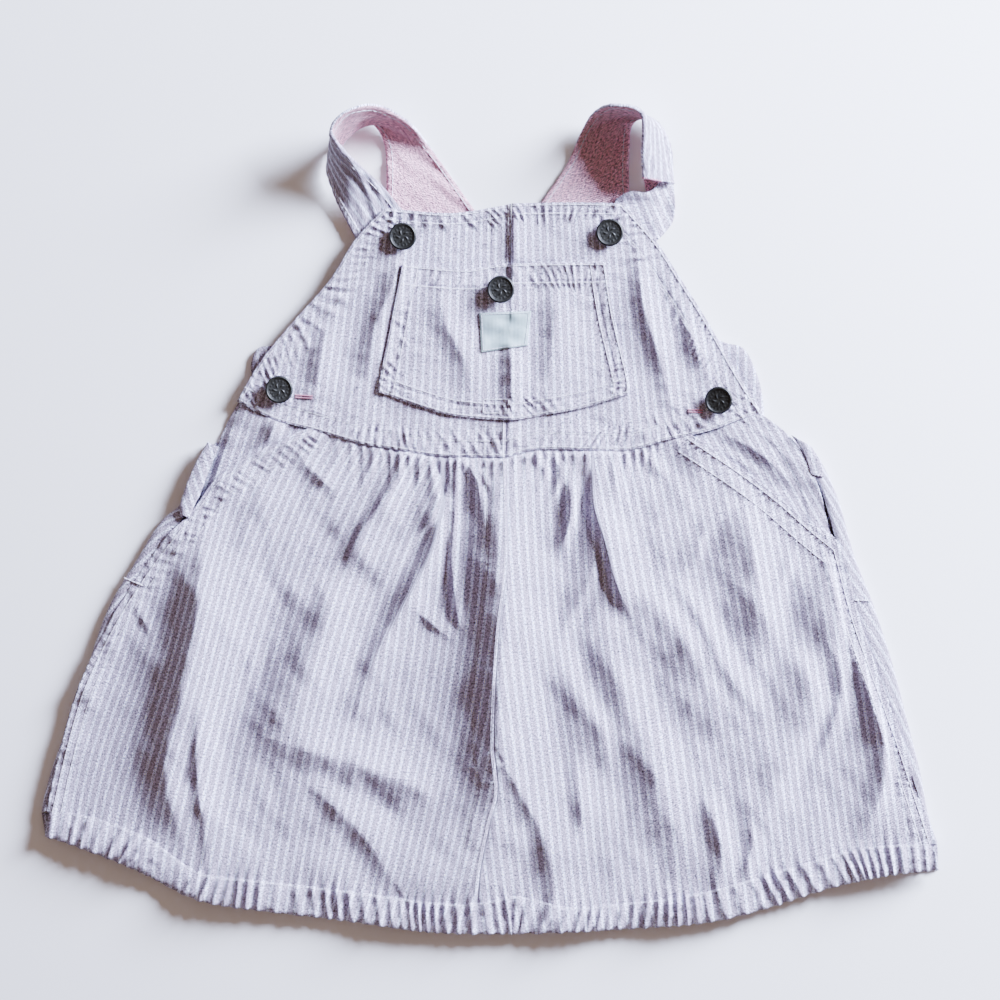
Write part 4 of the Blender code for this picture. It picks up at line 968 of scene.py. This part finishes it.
def bib_top(x, y):
    """Outer side of the bib with its hems and their puckers."""
    covered = under_pocket(x, y)
    hems, puckers = [], np.zeros(np.shape(x))
    uneven = 0.6 + 0.5 * wrinkles(x, y, 8, 23)
    for path, width, pitch, seed in (
            (BIB_LEFT_EDGE, HEM_WIDTH, 4.6, 0.2), (BIB_RIGHT_EDGE, HEM_WIDTH, 4.6, 1.4),
            (BIB_TOP_EDGE, TOP_HEM_WIDTH, 4.8, 2.6), (WAIST, WAIST_BAND, 5.0, 3.1)):
        edge, _, _, run = nearest(x, y, curve(path, 60))
        hems.append(hem_at(edge, width))
        waves = ripple(run + 0.7 * edge * np.sin(run / 23 + seed), pitch, seed)
        puckers += 0.75 * uneven * waves * (1 - ramp(edge, width, width + 7)) * ramp(edge, 0, 2)
    edge, side, _, _ = nearest(x, y, BIB_SEAM)
    hems.append(np.where(side < 0, 1, 0) * hem_at(edge, SEAM_WIDTH, 0.3))
    z = bib_flat(x, y) + (1 - covered) * (bib_folds(x, y) + puckers) - 0.5 * np.exp(-(edge / 0.9) ** 2)
    return z + (np.max(hems, axis=0) + np.min(hems, axis=0)) * (1 - 0.7 * covered)


def bib_threads(x, y):
    """How far across the stripes a point lies, and how far along them; they spread downwards."""
    across = (x - 9) / (1 + 0.0016 * (100 - y)) * 1.06
    return np.stack([across, y], axis=-1)


def bib(rows=230, cols=190):
    halves = [
        ("bib_left", BIB_TOP_EDGE[:3] + BIB_SEAM[:1], WAIST[:WAIST_CENTRE + 1], BIB_LEFT_EDGE, BIB_SEAM),
        ("bib_right", BIB_SEAM[:1] + BIB_TOP_EDGE[4:], WAIST[WAIST_CENTRE:], BIB_SEAM, BIB_RIGHT_EDGE),
    ]
    for name, top, waist, left, right in halves:
        grid = patch(top, waist, left, right, rows, cols)
        grid[..., 0] += -GAP / 2 if right is BIB_SEAM else GAP / 2
        x, y = grid[..., 0], grid[..., 1]
        made = sheet_mesh(name + "_cloth", np.dstack([grid, bib_top(x, y)]), bib_threads(x, y))
        if right is BIB_SEAM:
            paths = [beside(BIB_LEFT_EDGE, at) for at in (1.3, 9.6)]
            paths += [beside(BIB_SEAM, -at) for at in (1.5, 10.8)]
        else:
            paths = [beside(BIB_RIGHT_EDGE, -at) for at in (1.3, 9.6)]
        paths += [beside(top, -at) for at in (1.2, 5.6)] + [beside(waist, at) for at in (1.3, 8.2)]
        stitched = stitch_rows(name + "_stitches",
                               [(on_surface(path, bib_top), *TOPSTITCH) for path in paths])
        hole = np.array(BUTTONHOLE_LEFT if right is BIB_SEAM else BUTTONHOLE_RIGHT)
        lips = [on_surface(np.linspace(*(hole + (0, at)), 10), bib_top) for at in (-0.6, 0.6)]
        buttonhole = stitch_rows(name + "_buttonhole", [(lip, *LIP_STITCH) for lip in lips], "pink")
        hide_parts(name)


bib()


# ---- Bib pocket ----
# A patch pocket with a deep turned top edge, sewn to the bib with two rows of stitches round
# its sides and its pointed lower edge.

# The pocket is pressed a little into the bib; width and extra thickness of its turned sides
POCKET_LIFT = -0.45
POCKET_HEM, POCKET_FOLD = 7.5, 0.4
# The box of stitches at the pocket's lowest point
POCKET_BOX = [(-3.5, 61.5), (9.5, 61.5), (9.5, 54.5), (-3.5, 54.5), (-3.5, 61.5)]
POCKET_TOP = [(-44.5, 130.5), (-24.5, 128.5), (-9.5, 128), (1.5, 130), (17.5, 131), (59, 131.5)]
POCKET_BOTTOM = [(-57.5, 65.5), (-34.5, 57.5), (-17.5, 53), (9.5, 51), (27.5, 53.5), (48.5, 57.5),
                 (71, 64.5)]
POCKET_LEFT = [(-44.5, 130.5), (-57.5, 65.5)]
POCKET_RIGHT = [(59, 131.5), (63, 105.5), (70.5, 73.5), (71, 64.5)]


def pocket_top(x, y):
    """Outer side of the pocket, which takes up the bib's folds where it covers the bib."""
    z = bib_flat(x, y) + POCKET_LIFT + CLOTH + bib_folds(x, y)
    uneven = 0.6 + 0.5 * wrinkles(x, y, 8, 24)
    for path, width, height, seed in (
            (POCKET_TOP, HEM_WIDTH, HEM_FOLD, 0.9), (POCKET_LEFT, POCKET_HEM, POCKET_FOLD, 1.7),
            (POCKET_RIGHT, POCKET_HEM, POCKET_FOLD, 2.9), (POCKET_BOTTOM, POCKET_HEM, POCKET_FOLD, 3.3)):
        edge, _, _, run = nearest(x, y, curve(path, 50))
        waves = ripple(run + 0.7 * edge * np.sin(run / 17 + seed), 4.7, seed)
        puckers = uneven * waves * (1 - ramp(edge, width, width + 6)) * ramp(edge, 0, 2)
        z = z + hem_at(edge, width, height) + 0.5 * puckers
    return z


def bib_pocket(rows=170, cols=250):
    grid = patch(POCKET_TOP, POCKET_BOTTOM, POCKET_LEFT, POCKET_RIGHT, rows, cols)
    x, y = grid[..., 0], grid[..., 1]
    across = (x - POCKET_MIDDLE) / (1 + 0.0012 * (100 - y)) * 1.06 + 1.2
    made = sheet_mesh("bib_pocket_cloth", np.dstack([grid, pocket_top(x, y)]), np.dstack([across, y]))
    paths = []
    for edge, offsets in ((POCKET_LEFT, (1.2, 8.0)), (POCKET_RIGHT, (-1.2, -8.0)),
                          (POCKET_BOTTOM, (1.2, 8.0)), (POCKET_TOP, (-1.2, -10.2))):
        paths += [beside(edge, offset) for offset in offsets]
    paths += [np.linspace(a, b, 12) for a, b in zip(POCKET_BOX, POCKET_BOX[1:])]
    stitched = stitch_rows("bib_pocket_stitches",
                           [(on_surface(path, pocket_top), *TOPSTITCH) for path in paths])
    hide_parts("bib_pocket")


bib_pocket()


# ---- Label ----
# A small bare tab of smooth pale green ribbon, sewn flat to the pocket along its edges.

LABEL_CORNERS = [(-5.5, 105.5), (21, 106.5), (19, 89), (-4.5, 85.5)]
LABEL_SIDES = list(zip(LABEL_CORNERS, LABEL_CORNERS[1:] + LABEL_CORNERS[:1]))
LABEL_CENTRE, LABEL_STITCH_IN, LABEL_STITCH = (7.5, 96.6), 0.09, (1.5, 1.9, 0.3)
LABEL_DARK, LABEL_PALE = (0.25, 0.35, 0.36, 1), (0.33, 0.45, 0.45, 1)


def label_look():
    look = Look("Label ribbon")
    place = look.node("TexCoord", {}, {}, "Object")
    x = look.node("SeparateXYZ", {}, {0: place}, "X")
    y = look.node("SeparateXYZ", {}, {0: place}, "Y")
    weave = (x * 9000.0).sin() * 0.5 + (y * 11000.0).sin() * 0.5
    cloud = look.noise(place, 260.0, 3.0)
    colour = look.mix(cloud.between(0.3, 0.7), LABEL_DARK, LABEL_PALE)
    bump = look.node("Bump", {}, {"Strength": 0.4, "Distance": 0.0001, "Height": weave + cloud})
    return look.surface(Base_Color=colour, Roughness=0.45, Normal=bump, Sheen_Weight=0.2)


def label_top(x, y):
    """Outer side of the label, pressed down along its rim."""
    rim = np.minimum.reduce([nearest(x, y, side)[0] for side in LABEL_SIDES])
    return pocket_top(x, y) + 0.7 + 0.3 * ramp(rim, 0, 2.5) + 0.1 * wrinkles(x, y, 9, 31)


def label(rows=40, cols=56):
    a, b, c, d = LABEL_CORNERS
    grid = patch([a, b], [d, c], [a, d], [b, c], rows, cols)
    x, y = grid[..., 0], grid[..., 1]
    made = sheet_mesh("label_ribbon", np.dstack([grid, label_top(x, y)]), grid, looks=(label_look(),))
    centre = np.array(LABEL_CENTRE)
    inner = [corner + (centre - corner) * LABEL_STITCH_IN for corner in np.array(LABEL_CORNERS)]
    paths = [np.linspace(start, end, 20) for start, end in zip(inner, inner[1:] + inner[:1])]
    stitched = stitch_rows("label_stitches",
                           [(on_surface(path, label_top), *LABEL_STITCH) for path in paths])
    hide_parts("label")


label()


# ---- Buttons ----
# Five cast tack buttons of dark pewter: a raised rolled rim round a shallow dished cap with
# a plain ring of worn beads and a few cast ridges.

PEWTER_DARK, PEWTER_PALE = (0.009, 0.009, 0.008, 1), (0.026, 0.026, 0.021, 1)
BUTTON_R = 7.0
# From the stem over the rim (radius, height), then the cap from its rim to its middle
BUTTON_RIM = [(4.4, -1.6), (4.6, 0.0), (6.6, 0.5), (BUTTON_R, 1.0), (7.02, 2.0)]
CAP_R, CAP_LOW, CAP_RISE, ROLL = 6.95, 2.4, 0.6, 1.5
# Each button's middle and how far it tips, as its rise along x and along y
BUTTONS = [
    ("button_strap_left", (-44.5, 144.5), (0.0, 0.0)),
    ("button_strap_right", (61.0, 146.5), (0.0, 0.0)),
    ("button_pocket", (5.5, 117.5), (0.0, 0.0)),
    ("button_side_left", (-107.5, 66.5), (-0.08, 0.0)),
    ("button_side_right", (116.5, 61.0), (0.16, 0.12)),
]


def pewter_look():
    look = Look("Dark pewter")
    place = look.node("TexCoord", {}, {}, "Object")
    grain = look.noise(place, 900.0, 4.0)
    patches = look.noise(place, 350.0)
    colour = look.mix(grain.between(0.35, 0.7), PEWTER_DARK, PEWTER_PALE)
    rough = 0.34 + patches * 0.3
    bump = look.node("Bump", {}, {"Strength": 0.5, "Distance": 0.00012, "Height": grain})
    return look.surface(Base_Color=colour, Roughness=rough, Metallic=0.6, Normal=bump)


def buttons(rings=44, sides=120):
    pewter = pewter_look()
    rim_r, rim_z = np.array(BUTTON_RIM).T
    cap_r = np.linspace(CAP_R, 0.0, rings)
    cap_z = CAP_LOW + CAP_RISE * np.sin(np.pi * ramp(CAP_R - cap_r, 0, ROLL))
    angle = np.linspace(0, 2 * np.pi, sides, endpoint=False)
    rr, aa = np.meshgrid(np.concatenate([rim_r, cap_r]), angle, indexing="ij")
    beads = 0.16 * np.maximum(np.cos(16 * aa), 0) * np.exp(-((rr - 4.5) / 0.55) ** 2)
    ridges = 0.35 * np.maximum(np.cos(5 * aa + 0.9 * rr), 0) ** 2 * np.exp(-((rr - 2.2) / 0.9) ** 2)
    ring = 0.22 * np.exp(-((rr - 5.4) / 0.18) ** 2)
    relief = beads + ridges + ring
    relief[:len(rim_r)] = 0
    flat_z = np.concatenate([rim_z, cap_z])[:, None] + relief
    px, py = rr * np.cos(aa), rr * np.sin(aa)
    index = np.arange(rr.size).reshape(rr.shape)
    after = np.roll(index, -1, axis=1)
    faces = np.stack([index[:-1], after[:-1], after[1:], index[1:]], axis=-1).reshape(-1, 4)
    for name, centre, tip in BUTTONS:
        low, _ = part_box(name)
        base = low.z / MM + BUTTON_R * max(abs(tip[0]), abs(tip[1]))
        pz = flat_z + px * tip[0] + py * tip[1] + base
        points = np.stack([px + centre[0], py + centre[1], pz], axis=-1).reshape(-1, 3)
        made = mesh_object(name + "_metal", points, faces, None, (pewter,))
        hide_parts(name)


buttons()


# ---- Floor, light and camera ----
# A plain pale floor, a soft light low at the upper right and a pale surround, with the camera
# straight above.

# In metres, as are all the sizes of this section
FLOOR_HALF, FLOOR_DROP = 3.0, 0.0002
FLOOR_DARK, FLOOR_PALE = (0.86, 0.86, 0.84, 1), (0.88, 0.88, 0.86, 1)
KEY_PLACE, KEY_SIZE, KEY_POWER, KEY_COLOUR = (1.27, 0.89, 0.56), 0.66, 318.0, (0.84, 0.93, 1.28)
SURROUND_COLOUR, SURROUND_STRENGTH = (1.0, 0.735, 0.65, 1), 0.35
# The camera looks straight down at this point; the width that it sees there and its lens
FRAME_CENTRE, FRAME_WIDTH = (0.0051, 0.0102, 0.006), 0.51
LENS, SENSOR = 200, 36


def floor_look():
    look = Look("Pale floor")
    place = look.node("TexCoord", {}, {}, "Object")
    cloud = look.noise(place, 3.0)
    colour = look.mix(cloud, FLOOR_DARK, FLOOR_PALE)
    return look.surface(Base_Color=colour, Roughness=0.9)


def studio():
    mesh = bpy.data.meshes.new("floor")
    corners = [(x * FLOOR_HALF, y * FLOOR_HALF, 0) for x, y in ((-1, -1), (1, -1), (1, 1), (-1, 1))]
    mesh.from_pydata(corners, [], [(0, 1, 2, 3)])
    mesh.materials.append(floor_look())
    floor = bpy.data.objects.new("floor", mesh)
    floor.location.z = -FLOOR_DROP
    bpy.context.collection.objects.link(floor)
    key = bpy.data.lights.new("key", "AREA")
    key.size, key.energy, key.color = KEY_SIZE, KEY_POWER, KEY_COLOUR
    lamp = bpy.data.objects.new("key", key)
    lamp.location = KEY_PLACE
    lamp.rotation_euler = (-Vector(KEY_PLACE)).to_track_quat("-Z", "Y").to_euler()
    bpy.context.collection.objects.link(lamp)
    world = bpy.data.worlds.new("surround")
    world.use_nodes = True
    background = world.node_tree.nodes["Background"]
    background.inputs["Color"].default_value = SURROUND_COLOUR
    background.inputs["Strength"].default_value = SURROUND_STRENGTH
    bpy.context.scene.world = world
    lens = bpy.data.cameras.new("camera")
    lens.lens, lens.sensor_width = LENS, SENSOR
    lens.clip_start, lens.clip_end = 0.1, 20
    camera = bpy.data.objects.new("camera", lens)
    camera.location = FRAME_CENTRE
    camera.location.z += FRAME_WIDTH * LENS / SENSOR
    bpy.context.collection.objects.link(camera)
    bpy.context.scene.camera = camera


studio()
